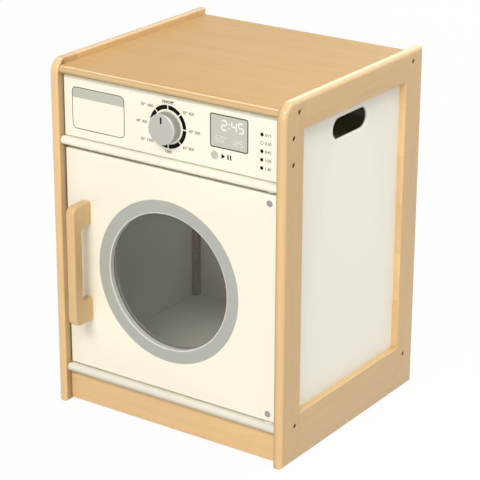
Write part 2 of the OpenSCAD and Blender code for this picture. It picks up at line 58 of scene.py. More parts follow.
def addNode(tree, kind, values=None, **settings):
    # values go to the node's sockets, settings to the node itself
    node = tree.nodes.new("ShaderNode" + kind)
    for name, value in settings.items():
        setattr(node, name, value)
    for name, value in (values or {}).items():
        node.inputs[name].default_value = value
    return node


def ramp(tree, source, low, high, toLow=0.0, toHigh=1.0):
    # straight line from toLow at low to toHigh at high, level beyond them
    node = addNode(tree, "MapRange", {"From Min": low, "From Max": high, "To Min": toLow, "To Max": toHigh})
    tree.links.new(source, node.inputs["Value"])
    return node.outputs["Result"]


def math2(tree, operation, first, second):
    # each of the two is a number or another node's socket
    node = addNode(tree, "Math", operation=operation)
    for place, value in enumerate((first, second)):
        if isinstance(value, (int, float)):
            node.inputs[place].default_value = value
        else:
            tree.links.new(value, node.inputs[place])
    return node.outputs[0]


def mixColor(tree, factor, first, second, blend="MIX"):
    # blends the second colour over the first by the factor
    node = addNode(tree, "Mix", data_type="RGBA", blend_type=blend)
    for socket, value in ((node.inputs[0], factor), (node.inputs[6], first), (node.inputs[7], second)):
        if isinstance(value, (int, float)):
            socket.default_value = value
        else:
            tree.links.new(value, socket)
    return node.outputs[2]


def mixShaders(tree, factor, first, second, output):
    # the first shader where the factor is 0, the second where it is 1
    mix = addNode(tree, "MixShader")
    for source, socket in zip((factor, first.outputs[0], second.outputs[0]), mix.inputs):
        tree.links.new(source, socket)
    tree.links.new(mix.outputs[0], output.inputs[0])


def seenRay(tree):
    # 1 for rays from the camera, off a mirror or through glass, 0 for the light that falls on things
    path = addNode(tree, "LightPath").outputs
    seen = math2(tree, "MAXIMUM", path["Is Camera Ray"], path["Is Glossy Ray"])
    return math2(tree, "MAXIMUM", path["Is Transmission Ray"], seen)


# camera, floor and light

cameraSpec = dict(place=(1.5181, -2.1846, 1.2733), turn=35.013, drop=20.951, roll=0.07,
                  lens=145.66, sensor=36.0, shift=(0.0299, -0.0093), farEnd=60.0)
stageSpec = dict(reach=30.0, floorColor=(0.74, 0.73, 0.72), floorRoughness=0.9, floorSpecular=0.1,
                 glow=0.94, glowStrength=1.01, glowNear=1.0, glowFar=6.0,
                 worldLight=0.07, worldColor=(0.97, 0.985, 1.0))
lampTarget = (0, 0, 0.27)
lampSpec = [
    # name, place, width and height, power, colour; each lamp is turned to the target in the cabinet
    ("keyLamp", (0.45, -4.0, 4.0), (3.4, 1.4), 205.0, (1.0, 0.955, 0.935)),
    ("frontLamp", (0.8, -4.5, 0.9), (3.0, 1.6), 45.0, (1.0, 0.955, 0.935)),
    ("sideLamp", (3.3, -0.6, 3.6), (2.0, 2.0), 38.0, (1.0, 0.98, 0.95)),
    ("roofLamp", (1.3, 0.6, 3.4), (1.3, 1.3), 50.0, (1.0, 0.985, 0.93)),
    ("backLamp", (0.1, 2.8, 2.25), (4.6, 1.6), 26.0, (1.0, 0.975, 0.90)),
    ("rearLamp", (-0.6, 4.2, 1.0), (2.5, 1.6), 32.0, (1.0, 0.98, 0.94)),
    ("railLamp", (-1.75, 3.35, 1.65), (0.9, 0.9), 2.6, (1.0, 0.95, 0.45)),
    ("noseLamp", (-2.3, 1.6, 3.4), (1.8, 0.3), 9.0, (1.0, 0.98, 0.92)),
]


def placeCamera(spec):
    # looks turn degrees left of straight back and drop degrees down, then rolls about that line
    turn, drop, roll = (math.radians(spec[name]) for name in ("turn", "drop", "roll"))
    ahead = Vector((-math.sin(turn) * math.cos(drop), math.cos(turn) * math.cos(drop), -math.sin(drop)))
    side = Vector((math.cos(turn), math.sin(turn), 0))
    up = side.cross(ahead)
    side, up = (side * math.cos(roll) + up * math.sin(roll), up * math.cos(roll) - side * math.sin(roll))
    camera = bpy.data.objects.new("camera", bpy.data.cameras.new("camera"))
    camera.data.lens = spec["lens"]
    camera.data.sensor_width = spec["sensor"]
    camera.data.shift_x, camera.data.shift_y = spec["shift"]
    camera.data.clip_end = spec["farEnd"]
    axes = Matrix((side, up, -ahead)).transposed().to_4x4()
    camera.matrix_world = Matrix.Translation(spec["place"]) @ axes
    show(camera)
    bpy.context.scene.camera = camera


def makeFloor(spec):
    # flat square; the far floor, which no lamp reaches, glows a little more than the near one
    reach = spec["reach"]
    mesh = bpy.data.meshes.new("floor")
    mesh.from_pydata([(-reach, -reach, 0), (reach, -reach, 0), (reach, reach, 0), (-reach, reach, 0)],
                     [], [(0, 1, 2, 3)])
    floor = bpy.data.objects.new("floor", mesh)
    show(floor)
    material = bpy.data.materials.new("paleFloor")
    material.use_nodes = True
    tree = material.node_tree
    shader = tree.nodes["Principled BSDF"]
    shader.inputs["Base Color"].default_value = (*spec["floorColor"], 1)
    shader.inputs["Roughness"].default_value = spec["floorRoughness"]
    shader.inputs["Specular IOR Level"].default_value = spec["floorSpecular"]
    glow = addNode(tree, "Emission", {"Color": (1, 1, 1, 1), "Strength": spec["glowStrength"]})
    place = addNode(tree, "TexCoord")
    distance = addNode(tree, "VectorMath", operation="LENGTH")
    tree.links.new(place.outputs["Object"], distance.inputs[0])
    level = ramp(tree, distance.outputs["Value"], spec["glowNear"], spec["glowFar"], spec["glow"], 1.0)
    share = math2(tree, "MULTIPLY", seenRay(tree), level)
    mixShaders(tree, share, shader, glow, tree.nodes["Material Output"])
    mesh.materials.append(material)


def makeWorld(spec):
    # a faint light on things, and plain white where the camera, a mirror or glass looks into it
    world = bpy.data.worlds.new("studio")
    bpy.context.scene.world = world
    world.use_nodes = True
    tree = world.node_tree
    lit = tree.nodes["Background"]
    lit.inputs["Color"].default_value = (*spec["worldColor"], 1)
    lit.inputs["Strength"].default_value = spec["worldLight"]
    white = addNode(tree, "Background", {"Color": (1, 1, 1, 1), "Strength": 1.0})
    mixShaders(tree, seenRay(tree), lit, white, tree.nodes["World Output"])


def placeLamps(spec, target):
    # rectangular area lamps, each turned to the target
    for name, place, size, power, color in spec:
        lamp = bpy.data.objects.new(name, bpy.data.lights.new(name, "AREA"))
        lamp.data.shape = "RECTANGLE"
        lamp.data.size, lamp.data.size_y = size
        lamp.data.energy = power
        lamp.data.color = color
        lamp.location = place
        lamp.rotation_euler = (Vector(target) - Vector(place)).to_track_quat("-Z", "Y").to_euler()
        show(lamp)


bpy.context.scene.view_settings.view_transform = "Standard"
placeCamera(cameraSpec)
makeFloor(stageSpec)
makeWorld(stageSpec)
placeLamps(lampSpec, lampTarget)
print("camera, floor and lamps placed")

# node groups that the finishes share


def startGroup(name, inputs, outputs):
    # inputs are (label, kind, first value), outputs (label, kind)
    group = bpy.data.node_groups.new(name, "ShaderNodeTree")
    for label, kind, value in inputs:
        socket = group.interface.new_socket(label, in_out="INPUT", socket_type="NodeSocket" + kind)
        if value is not None:
            socket.default_value = value
    for label, kind in outputs:
        group.interface.new_socket(label, in_out="OUTPUT", socket_type="NodeSocket" + kind)
    return group, group.nodes.new("NodeGroupInput"), group.nodes.new("NodeGroupOutput")


def stretchedNoise(tree, vector, stretch, detail, roughness=0.5):
    # noise whose features are 1 / stretch metres long along each axis
    scaled = addNode(tree, "VectorMath", {1: stretch}, operation="MULTIPLY")
    noise = addNode(tree, "TexNoise", {"Scale": 1.0, "Detail": detail, "Roughness": roughness})
    tree.links.new(vector, scaled.inputs[0])
    tree.links.new(scaled.outputs[0], noise.inputs["Vector"])
    return noise.outputs["Fac"]


# stretch is per metre along the grain and across it; depth runs from 0, the pale tone, to 1, the deep one
grainSpec = dict(bands=(5.0, 75.0, 75.0), bandRange=(0.30, 0.72), bandDepth=(0.16, 0.50),
                 rings=(1.6, 17.0, 17.0), ringWaves=95.0, ringDepth=(-0.06, 0.08),
                 fibres=(22.0, 900.0, 900.0), fibreDepth=(-0.09, 0.11), fibreHeight=0.6,
                 rays=(150.0, 1300.0, 1300.0), rayRange=(0.63, 0.72), rayDepth=0.26, rayDent=0.5,
                 glueLine=0.0004, glueDepth=0.25, glueDent=0.6, stagger=0.43, logShift=(0.7, 0.31, 0.9),
                 roughness=(0.30, 0.38), bump=0.25, bumpReach=0.12 * mm)
coatSpec = dict(clouds=9.0, peel=420.0, dust=1700.0, dustHeight=0.25, glossRange=(0.35, 0.65))


def makeWoodGroup(spec):
    # grain along X: broad bands, ring lines, fibres, short dark rays and glued strips
    group, given, out = startGroup(
        "woodGrain",
        [("Vector", "Vector", None), ("Pale", "Color", (0.84, 0.62, 0.37, 1)),
         ("Deep", "Color", (0.66, 0.43, 0.21, 1)), ("Strip Length", "Float", 0.3),
         ("Strip Width", "Float", 0.045), ("Strip Contrast", "Float", 0.2)],
        [("Color", "Color"), ("Height", "Float"), ("Roughness", "Float")])
    vector, link = given.outputs["Vector"], group.links.new
    brick = addNode(group, "TexBrick", {"Color1": (0, 0, 0, 1), "Color2": (1, 1, 1, 1),
                                        "Mortar": (0.5, 0.5, 0.5, 1), "Scale": 1.0,
                                        "Mortar Size": spec["glueLine"], "Mortar Smooth": 0.6, "Bias": 0.0},
                    offset=spec["stagger"], squash=1.0)
    link(vector, brick.inputs["Vector"])
    link(given.outputs["Strip Length"], brick.inputs["Brick Width"])
    link(given.outputs["Strip Width"], brick.inputs["Row Height"])
    glue = brick.outputs["Fac"]
    # each strip is cut from another place of the log
    shift = addNode(group, "VectorMath", {1: spec["logShift"]}, operation="MULTIPLY")
    moved = addNode(group, "VectorMath", operation="ADD")
    link(brick.outputs["Color"], shift.inputs[0])
    link(vector, moved.inputs[0])
    link(shift.outputs[0], moved.inputs[1])
    log = moved.outputs[0]
    bands = stretchedNoise(group, log, spec["bands"], 3.0, 0.55)
    rings = stretchedNoise(group, log, spec["rings"], 1.5, 0.4)
    ringLines = math2(group, "SINE", math2(group, "MULTIPLY", rings, spec["ringWaves"]), 0.0)
    fibres = stretchedNoise(group, log, spec["fibres"], 3.0, 0.6)
    rays = ramp(group, stretchedNoise(group, log, spec["rays"], 1.0), *spec["rayRange"])
    strip = math2(group, "SUBTRACT", brick.outputs["Color"], 0.5)
    depth = ramp(group, bands, *spec["bandRange"], *spec["bandDepth"])
    for part in (ramp(group, ringLines, -1.0, 1.0, *spec["ringDepth"]),
                 ramp(group, fibres, 0.3, 0.7, *spec["fibreDepth"]),
                 math2(group, "MULTIPLY", rays, spec["rayDepth"]),
                 math2(group, "MULTIPLY", strip, given.outputs["Strip Contrast"]),
                 math2(group, "MULTIPLY", glue, spec["glueDepth"])):
        depth = math2(group, "ADD", depth, part)
    tone = mixColor(group, ramp(group, depth, 0.0, 1.0), given.outputs["Pale"], given.outputs["Deep"])
    height = math2(group, "MULTIPLY", fibres, spec["fibreHeight"])
    for part, dent in ((rays, spec["rayDent"]), (glue, spec["glueDent"])):
        height = math2(group, "SUBTRACT", height, math2(group, "MULTIPLY", part, dent))
    link(tone, out.inputs["Color"])
    link(height, out.inputs["Height"])
    link(ramp(group, bands, 0.3, 0.7, *spec["roughness"]), out.inputs["Roughness"])
    return group


def makePaintGroup(spec):
    # sprayed paint: slow changes of tone, and the fine dimples of a sprayed coat
    group, given, out = startGroup(
        "sprayedPaint",
        [("Vector", "Vector", None), ("Paint", "Color", (0.9, 0.86, 0.74, 1)), ("Tone", "Float", 0.03),
         ("Gloss Low", "Float", 0.32), ("Gloss High", "Float", 0.42)],
        [("Color", "Color"), ("Height", "Float"), ("Roughness", "Float")])
    vector, link = given.outputs["Vector"], group.links.new
    clouds = stretchedNoise(group, vector, [spec["clouds"]] * 3, 3.0)
    peel = stretchedNoise(group, vector, [spec["peel"]] * 3, 2.0)
    dust = stretchedNoise(group, vector, [spec["dust"]] * 3, 1.0)
    tone = math2(group, "MULTIPLY", math2(group, "SUBTRACT", clouds, 0.5), given.outputs["Tone"])
    level = addNode(group, "HueSaturation", {"Hue": 0.5, "Saturation": 1.0, "Fac": 1.0})
    link(math2(group, "ADD", tone, 1.0), level.inputs["Value"])
    link(given.outputs["Paint"], level.inputs["Color"])
    link(level.outputs[0], out.inputs["Color"])
    fine = math2(group, "MULTIPLY", dust, spec["dustHeight"])
    link(math2(group, "ADD", peel, fine), out.inputs["Height"])
    glossLow, glossHigh = spec["glossRange"]
    gloss = addNode(group, "MapRange", {"From Min": glossLow, "From Max": glossHigh})
    link(clouds, gloss.inputs["Value"])
    link(given.outputs["Gloss Low"], gloss.inputs["To Min"])
    link(given.outputs["Gloss High"], gloss.inputs["To Max"])
    link(gloss.outputs["Result"], out.inputs["Roughness"])
    return group


woodGrain = makeWoodGroup(grainSpec)
sprayedPaint = makePaintGroup(coatSpec)

# finishes


def startFinish(name, group, turn=(0, 0, 0), shift=(0, 0, 0), bump=0.1, reach=0.1 * mm):
    # a Principled shader fed by a group's colour, roughness and height over Object coordinates
    material = bpy.data.materials.new(name)
    material.use_nodes = True
    tree = material.node_tree
    shader = tree.nodes["Principled BSDF"]
    place = addNode(tree, "TexCoord")
    mapping = addNode(tree, "Mapping", {"Location": shift, "Rotation": turn})
    detail = addNode(tree, "Group", node_tree=group)
    height = addNode(tree, "Bump", {"Strength": bump, "Distance": reach})
    for source, socket in ((place.outputs["Object"], mapping.inputs["Vector"]),
                           (mapping.outputs[0], detail.inputs["Vector"]),
                           (detail.outputs["Color"], shader.inputs["Base Color"]),
                           (detail.outputs["Roughness"], shader.inputs["Roughness"]),
                           (detail.outputs["Height"], height.inputs["Height"]),
                           (height.outputs[0], shader.inputs["Normal"])):
        tree.links.new(source, socket)
    return material, shader, detail


quarterTurn = math.pi / 2
# turns the model's axes so that the grain runs along the named one and the strips lie in the board's face
grainTurns = dict(x=(0, 0, 0), y=(-quarterTurn, -quarterTurn, 0), z=(0, quarterTurn, 0),
                  xFront=(quarterTurn, 0, 0))
frameTones = dict(pale=(0.725, 0.50, 0.242), deep=(0.63, 0.42, 0.197), coat=1.0, coatRoughness=0.10,
                  specular=0.0)
topTones = dict(pale=(0.585, 0.378, 0.174), deep=(0.525, 0.332, 0.144), coat=0.0, coatRoughness=0.10,
                specular=0.02)
edgeTones = dict(frameTones, deep=(0.50, 0.315, 0.14))


def beech(name, grain, shift, strip=(0.6, 0.1, 0.1), lighten=1.0, tones=frameTones):
    # lacquered wood; strip is the length, width and contrast of the glued strips
    material, shader, detail = startFinish(name, woodGrain, grainTurns[grain], shift, grainSpec["bump"],
                                           grainSpec["bumpReach"])
    for socket, tone in (("Pale", tones["pale"]), ("Deep", tones["deep"])):
        detail.inputs[socket].default_value = (*(min(1.0, part * lighten) for part in tone), 1)
    for socket, value in zip(("Strip Length", "Strip Width", "Strip Contrast"), strip):
        detail.inputs[socket].default_value = value
    shader.inputs["Coat Weight"].default_value = tones["coat"]
    shader.inputs["Coat Roughness"].default_value = tones["coatRoughness"]
    shader.inputs["Specular IOR Level"].default_value = tones["specular"]
    return material


def paintShadeAlong(material, low, high, tones, axis="Z"):
    # multiplies the colour by tones that change along one axis, from low to high: painted light and shade
    tree = material.node_tree
    base = tree.nodes["Principled BSDF"].inputs["Base Color"]
    place = addNode(tree, "TexCoord")
    split = addNode(tree, "SeparateXYZ")
    tree.links.new(place.outputs["Object"], split.inputs[0])
    shadeSteps = addNode(tree, "ValToRGB")
    steps = shadeSteps.color_ramp.elements
    while len(steps) < len(tones):
        steps.new(0.5)
    for step, (level, tone) in zip(steps, tones):
        step.position = level
        step.color = (*tone, 1)
    tree.links.new(ramp(tree, split.outputs[axis], low, high), shadeSteps.inputs[0])
    tree.links.new(mixColor(tree, 1.0, base.links[0].from_socket, shadeSteps.outputs[0], "MULTIPLY"), base)
    return material


def paint(name, color, tone=0.03, gloss=(0.32, 0.42), bump=0.10, specular=0.5, metallic=0.0):
    # tone is how far the lightness drifts, gloss the two ends of the roughness
    material, shader, detail = startFinish(name, sprayedPaint, bump=bump)
    for socket, value in zip(("Paint", "Tone", "Gloss Low", "Gloss High"), ((*color, 1), tone, *gloss)):
        detail.inputs[socket].default_value = value
    shader.inputs["Specular IOR Level"].default_value = specular
    shader.inputs["Metallic"].default_value = metallic
    return material


# paints
creamPaint = paint("creamPaint", (0.867, 0.858, 0.726), tone=0.02)
lowerBeadPaint = paint("lowerBeadPaint", (0.98, 0.98, 0.98), tone=0.02)
infillPaint = paint("infillPaint", (0.95, 0.95, 0.87), tone=0.02)
ringPaint = paint("ringPaint", (0.40, 0.424, 0.38))
# painted light and shade on the porthole: the bevel's less yellow paint stands in for the pale line of
# light along it, and the bore's darker paint is painted shade on its wall
bevelLightPaint = paint("bevelLightPaint", (0.74, 0.735, 0.68), tone=0.02)
revealShadePaint = paint("revealShadePaint", (0.67, 0.665, 0.60))
sealPaint = paint("sealPaint", (0.54, 0.53, 0.48))
# inks
blackInk = paint("blackInk", (0.008, 0.008, 0.006), tone=0.1, gloss=(0.5, 0.6), specular=0.02)
outlineInk = paint("outlineInk", (0.07, 0.07, 0.055), tone=0.1, gloss=(0.5, 0.6), specular=0.05)
labelInk = paint("labelInk", (0.10, 0.098, 0.08), tone=0.1, gloss=(0.5, 0.6), specular=0.05)
greyInk = paint("greyInk", (0.505, 0.518, 0.454), tone=0.02, gloss=(0.4, 0.5), specular=0.12)
displayInk = paint("displayInk", (0.521, 0.535, 0.477), tone=0.02, gloss=(0.35, 0.45), specular=0.12)
whiteInk = paint("whiteInk", (0.90, 0.90, 0.86), tone=0.01, gloss=(0.4, 0.5), specular=0.12)
paleInk = paint("paleInk", (0.74, 0.75, 0.70), tone=0.01, gloss=(0.4, 0.5), specular=0.12)
# knob, hardware and pane
knobFinish = paint("knobFinish", (0.484, 0.4725, 0.44), tone=0.04, gloss=(0.34, 0.44), bump=0.14,
                   metallic=0.15)
# the knob's side is a darker copy of its finish as painted shade, the rim a paler one as a painted
# highlight
knobShadedSide = paint("knobShadedSide", (0.455, 0.445, 0.43), tone=0.04, gloss=(0.3, 0.4), bump=0.14, metallic=0.3)
knobRimHighlight = paint("knobRimHighlight", (0.60, 0.595, 0.57), tone=0.02, gloss=(0.22, 0.3), bump=0.05, metallic=0.3)
nylonFinish = paint("nylonFinish", (0.82, 0.82, 0.79), gloss=(0.38, 0.5))
catchFinish = paint("catchFinish", (0.84, 0.84, 0.82), gloss=(0.3, 0.4))
magnetFinish = paint("magnetFinish", (0.07, 0.068, 0.065), tone=0.2, gloss=(0.5, 0.65))
screwFinish = paint("screwFinish", (0.15, 0.07, 0.05), tone=0.3, gloss=(0.3, 0.5), metallic=0.3)
zincFinish = paint("zincFinish", (0.62, 0.625, 0.63), tone=0.15, gloss=(0.22, 0.36), metallic=1.0)
nutFinish = paint("nutFinish", (0.33, 0.34, 0.32), tone=0.15, gloss=(0.36, 0.5), metallic=0.35)
smokedPane = paint("smokedPane", (0.13, 0.14, 0.15), tone=0.1, gloss=(0.05, 0.08), bump=0.01)
paneShader = smokedPane.node_tree.nodes["Principled BSDF"]
paneShader.inputs["Alpha"].default_value = 0.15
paneShader.inputs["IOR"].default_value = 1.49
print("finishes made")

# tools that make meshes


def startShape():
    # what a mesh is gathered in: points, faces, whether each is smooth, and its finish
    return dict(points=[], faces=[], smooth=[], slots=[], count=0)


def addFaces(shape, faces, smooth, slot=0):
    shape["faces"] += faces.tolist()
    shape["smooth"] += [smooth] * len(faces)
    shape["slots"] += [slot] * len(faces)


def addLoops(shape, loops, slots=0):
    # joins closed loops of points, given as rows x count x 3, with one band of quads between each two
    rows, count = loops.shape[:2]
    here = shape["count"] + np.arange(count)
    there = np.roll(here, -1)
    shape["points"].append(loops.reshape(-1, 3))
    shape["count"] += rows * count
    bandSlots = np.broadcast_to(slots, rows - 1)
    for band in range(rows - 1):
        quads = np.stack([here, there, there + count, here + count], 1) + band * count
        addFaces(shape, quads, True, int(bandSlots[band]))
    return here, here + (rows - 1) * count


def addCap(shape, outlines, indexes):
    # fills a flat outline, less its holes, with triangles
    triangles = np.array(tessellate_polygon([flat.tolist() for flat in outlines]))
    addFaces(shape, np.concatenate(indexes)[triangles], False)


sharpAngle = 34   # degrees; sharper edges stay crisp


def finishPiece(name, shape, materials, body, replaces=()):
    # merges doubles, turns every face outwards and marks the sharp edges
    mesh = bpy.data.meshes.new(name)
    mesh.from_pydata(np.concatenate(shape["points"]).tolist(), [], shape["faces"])
    mesh.polygons.foreach_set("use_smooth", shape["smooth"])
    mesh.polygons.foreach_set("material_index", shape["slots"])
    work = bmesh.new()
    work.from_mesh(mesh)
    bmesh.ops.remove_doubles(work, verts=work.verts, dist=1e-6)
    bmesh.ops.recalc_face_normals(work, faces=work.faces)
    work.to_mesh(mesh)
    work.free()
    mesh.set_sharp_from_angle(angle=math.radians(sharpAngle))
    for material in materials:
        mesh.materials.append(material)
    piece = bpy.data.objects.new(name, mesh)
    show(piece)
    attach(piece, body)
    if replaces:
        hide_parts(*replaces)
    return piece


def arc(centre, radius, start, end, steps):
    # points on a circle from one angle to another, in degrees
    angle = np.radians(np.linspace(start, end, steps + 1))
    return np.stack([centre[0] + radius * np.cos(angle), centre[1] + radius * np.sin(angle)], 1)


def roundBox(u0, u1, v0, v1, radius, steps=8):
    # rectangle with four round corners, counterclockwise
    r = radius
    return np.concatenate([
        arc((u1 - r, v0 + r), r, -90, 0, steps), arc((u1 - r, v1 - r), r, 0, 90, steps),
        arc((u0 + r, v1 - r), r, 90, 180, steps), arc((u0 + r, v0 + r), r, 180, 270, steps)])


def circle(u, v, radius, count=48):
    # count points at even angles, counterclockwise
    return arc((u, v), radius, 0, 360 * (1 - 1 / count), count - 1)


def inward(outline, weights=1.0):
    # how each point moves so that its two edges shift inwards by their own weights:
    # the crossing of the two shifted edges, or their mean normal where they run straight on
    edge = np.roll(outline, -1, 0) - outline
    after = np.stack([-edge[:, 1], edge[:, 0]], 1) / np.linalg.norm(edge, axis=1)[:, None]
    before = np.roll(after, 1, 0)
    wAfter = np.broadcast_to(weights, len(outline)).astype(float)
    wBefore = np.roll(wAfter, 1)
    cross = before[:, 0] * after[:, 1] - before[:, 1] * after[:, 0]
    straight = np.abs(cross) < 0.02
    safe = np.where(straight, 1.0, cross)
    corner = np.stack([wBefore * after[:, 1] - wAfter * before[:, 1],
                       wAfter * before[:, 0] - wBefore * after[:, 0]], 1) / safe[:, None]
    mean = before + after
    mean = mean / (mean ** 2).sum(1)[:, None] * (wBefore + wAfter)[:, None]
    return np.where(straight[:, None], mean, corner)


def softEdge(radius, steps=5):
    # quarter round from the face to the wall, as (inset, depth) rows, with one row just past it
    t = np.linspace(0, math.pi / 2, steps + 1)
    rows = np.stack([radius * (1 - np.sin(t)), radius * (1 - np.cos(t))], 1)
    return np.vstack([rows, [0, radius * 1.15]])


def bothFaces(radius, thick, steps=4):
    # quarter rounds at the front face and at the back face, as (inset, depth) rows
    soft = softEdge(radius, steps)
    return np.vstack([soft, np.stack([soft[::-1, 0], thick - soft[::-1, 1]], 1)])


def across(start, sign):
    # outlines in y and z whose depth runs along X from a start, forwards or backwards
    return lambda p: np.stack([start + sign * p[..., 2], p[..., 0], p[..., 1]], -1)


def backFrom(front):
    # outlines in x and z whose depth runs back from a front face
    return lambda p: np.stack([p[..., 0], front + p[..., 2], p[..., 1]], -1)


def addSlab(shape, outline, fields, rows, place, holes=()):
    # each row moves the outline by a weighted sum of its fields and sinks it by the row's last number
    rows = np.asarray(rows, float)
    flat = outline + np.einsum("rk,knc->rnc", rows[:, :-1], np.asarray(fields, float))
    depth = np.broadcast_to(rows[:, -1, None, None], flat.shape[:2] + (1,))
    firstLoop, lastLoop = addLoops(shape, place(np.concatenate([flat, depth], 2)))
    front, back = ([flat[0]], [firstLoop]), ([flat[-1]], [lastLoop])
    for hole in holes:
        wall = np.asarray(hole["rows"], float)
        ring = hole["outline"] - wall[:, 0, None, None] * inward(hole["outline"])
        sunk = rows[-1, -1] - wall[:, 1] if hole["side"] == "back" else wall[:, 1]
        sunk = np.broadcast_to(sunk[:, None, None], ring.shape[:2] + (1,))
        mouth, end = addLoops(shape, place(np.concatenate([ring, sunk], 2)), hole.get("slots", 0))
        face = back if hole["side"] == "back" else front
        face[0].append(ring[0])
        face[1].append(mouth)
        if hole["side"] == "through":
            back[0].append(ring[-1])
            back[1].append(end)
        else:
            addFaces(shape, end[None, :], False)
    addCap(shape, *front)
    addCap(shape, *back)


def drilled(u, v, radius, depth, mouth=0.4 * mm, side="front"):
    # blind round hole with a broken edge
    return dict(outline=circle(u, v, radius, 32), rows=[(mouth, 0), (0, mouth), (0, depth)], side=side)


def lathe(shape, profile, centre, count, slots=0):
    # turns (radius, y) rows about a line along Y; both ends close with a flat disc
    profile = np.asarray(profile, float)
    angle = np.linspace(0, 2 * math.pi, count, endpoint=False)
    x = centre[0] + profile[:, :1] * np.cos(angle)
    z = centre[1] + profile[:, :1] * np.sin(angle)
    first, last = addLoops(shape, np.stack([x, np.broadcast_to(profile[:, 1:], x.shape), z], 2), slots)
    addFaces(shape, first[None, :], False)
    addFaces(shape, last[None, :], False, int(np.broadcast_to(slots, len(profile) - 1)[-1]))


def dress(finish, *nodes):
    # gives carried-over CAD nodes a finish
    for node in nodes:
        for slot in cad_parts[node].material_slots:
            slot.material = finish


# side frames

sideLow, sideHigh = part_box("right_front_stile")
infillLow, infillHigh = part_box("right_infill_panel")
rearLow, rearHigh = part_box("right_rear_stile")
topRailLow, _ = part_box("right_top_rail")
_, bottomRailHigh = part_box("right_bottom_rail")
frontY, backY = sideLow.y, rearHigh.y
openY0, openY1 = sideHigh.y, rearLow.y
openZ0, openZ1 = bottomRailHigh.z, topRailLow.z
sideSpec = dict(thick=sideHigh.x - sideLow.x, rebate=sideHigh.x - infillHigh.x,
                lap=infillHigh.z - topRailLow.z + 0.2 * mm, cornerRadius=22 * mm, edge=6.0 * mm,
                innerEdge=2.8 * mm, openingEdge=0.2, seam=0.25 * mm, screwRadius=3.5 * mm,
                screwDepth=4 * mm, frontLean=0.3, innerLean=0.7)
sideSign = dict(right=1, left=-1)
# each screw's distance from the front and its height, in millimetres
screwSpots = dict(front=[(33, 514), (20.5, 480.5), (20.5, 443.5), (33, 56)],
                  rear=[(331.5, 514), (331.5, 56)])
# length, width and contrast of the strips in each kind of member
stripSpec = dict(stile=(0.135, 0.30, 0.05), rail=(0.5, 0.30, 0.04), block=(0.075, 0.30, 0.42))
# where the side's wood comes from in the log, and how much lighter its members are than plain beech
# nose and edge are lighter copies of the same beech, painted light on the front faces of the front stile
# and on the rear stile's front-facing edge; inner is the copy for the front stile's inner faces, which
# carries its painted shade
woodSpec = dict(right=dict(seed=0.0, stile=0.98, nose=1.06, inner=0.95, edge=1.27, rail=1.0),
                left=dict(seed=3.0, stile=0.95, nose=1.12, inner=0.95, edge=1.27, rail=1.05))
# painted shade on a front stile: darker across its left arris, which faces away from the light, and on its
# inner face a painted shadow line where the door's front meets it, from the front to the back
arrisShadeSpan = dict(right=(sideLow.x, sideLow.x + 7.0 * mm), left=(-sideHigh.x, -sideHigh.x + 4.0 * mm))
arrisShadeTones = [(0.0, (0.58, 0.60, 0.60)), (0.25, (0.70, 0.71, 0.70)), (0.6, (0.88, 0.88, 0.88)),
              (1.0, (1.0, 1.0, 1.0))]
innerShadeTones = [(0.0, (0.90, 0.88, 0.86)), (0.16, (0.80, 0.79, 0.81)), (0.25, (0.63, 0.64, 0.68)),
              (0.30, (0.44, 0.45, 0.50)), (0.36, (0.68, 0.68, 0.68)), (0.5, (0.88, 0.88, 0.88))]


def memberRows(spec):
    # face, quarter round, wall, step of the rebate, quarter round at the inside face
    outer, inner = softEdge(spec["edge"]), softEdge(spec["innerEdge"])[::-1]
    rows = [(a, 0, max(0, spec["seam"] - d), 0, d) for a, d in outer]
    rows += [(0, 0, 0, 0, spec["rebate"]), (0, 0, 0, spec["lap"], spec["rebate"])]
    return rows + [(0, a, max(0, spec["seam"] - d), spec["lap"], spec["thick"] - d) for a, d in inner]


def faceFront(piece, front, inner, sign):
    # gives the lit and shaded copies of the wood, which are painted light and shade, to the faces that look
    # to the front and to the middle of the cabinet
    faces = piece.data.polygons
    normals = np.zeros(len(faces) * 3)
    faces.foreach_get("normal", normals)
    x, y, _ = normals.reshape(-1, 3).T
    toMiddle, toFront = x * sign < -sideSpec["innerLean"], y < -sideSpec["frontLean"]
    faces.foreach_set("material_index", np.where(toFront, front, np.where(toMiddle, inner, 0)))


def makeMember(name, points, side, finishes, spots=()):
    # points: y, z, then the moves of a free edge, of the opening's edge and of a glued joint;
    # finishes: the member's own, then those of its front and its inner faces
    points = np.asarray(points, float)
    outline, free, opening, joint = points[:, :2], points[:, 2:4], points[:, 4:6], points[:, 6:8]
    fields = [free + opening * sideSpec["openingEdge"], free, joint, opening]
    sign = sideSign[side]
    holes = [drilled(frontY + y * mm, z * mm, sideSpec["screwRadius"], sideSpec["screwDepth"])
             for y, z in spots]
    shape = startShape()
    addSlab(shape, outline, fields, memberRows(sideSpec), across(sign * sideHigh.x, -sign), holes)
    piece = finishPiece(f"{side}_{name}_rounded", shape, finishes, "cabinet",
                        [f"{side}_{name}"])
    if len(finishes) > 1:
        faceFront(piece, 1, 2 if len(finishes) > 2 else 0, sign)


def freeCorner(centre, radius, start, end, steps):
    # round corner of a free edge: every point moves straight towards the arc's centre
    points = arc(centre, radius, start, end, steps)
    move = (np.array(centre) - points) / radius
    return np.hstack([points, move, np.zeros((steps + 1, 4))]).tolist()


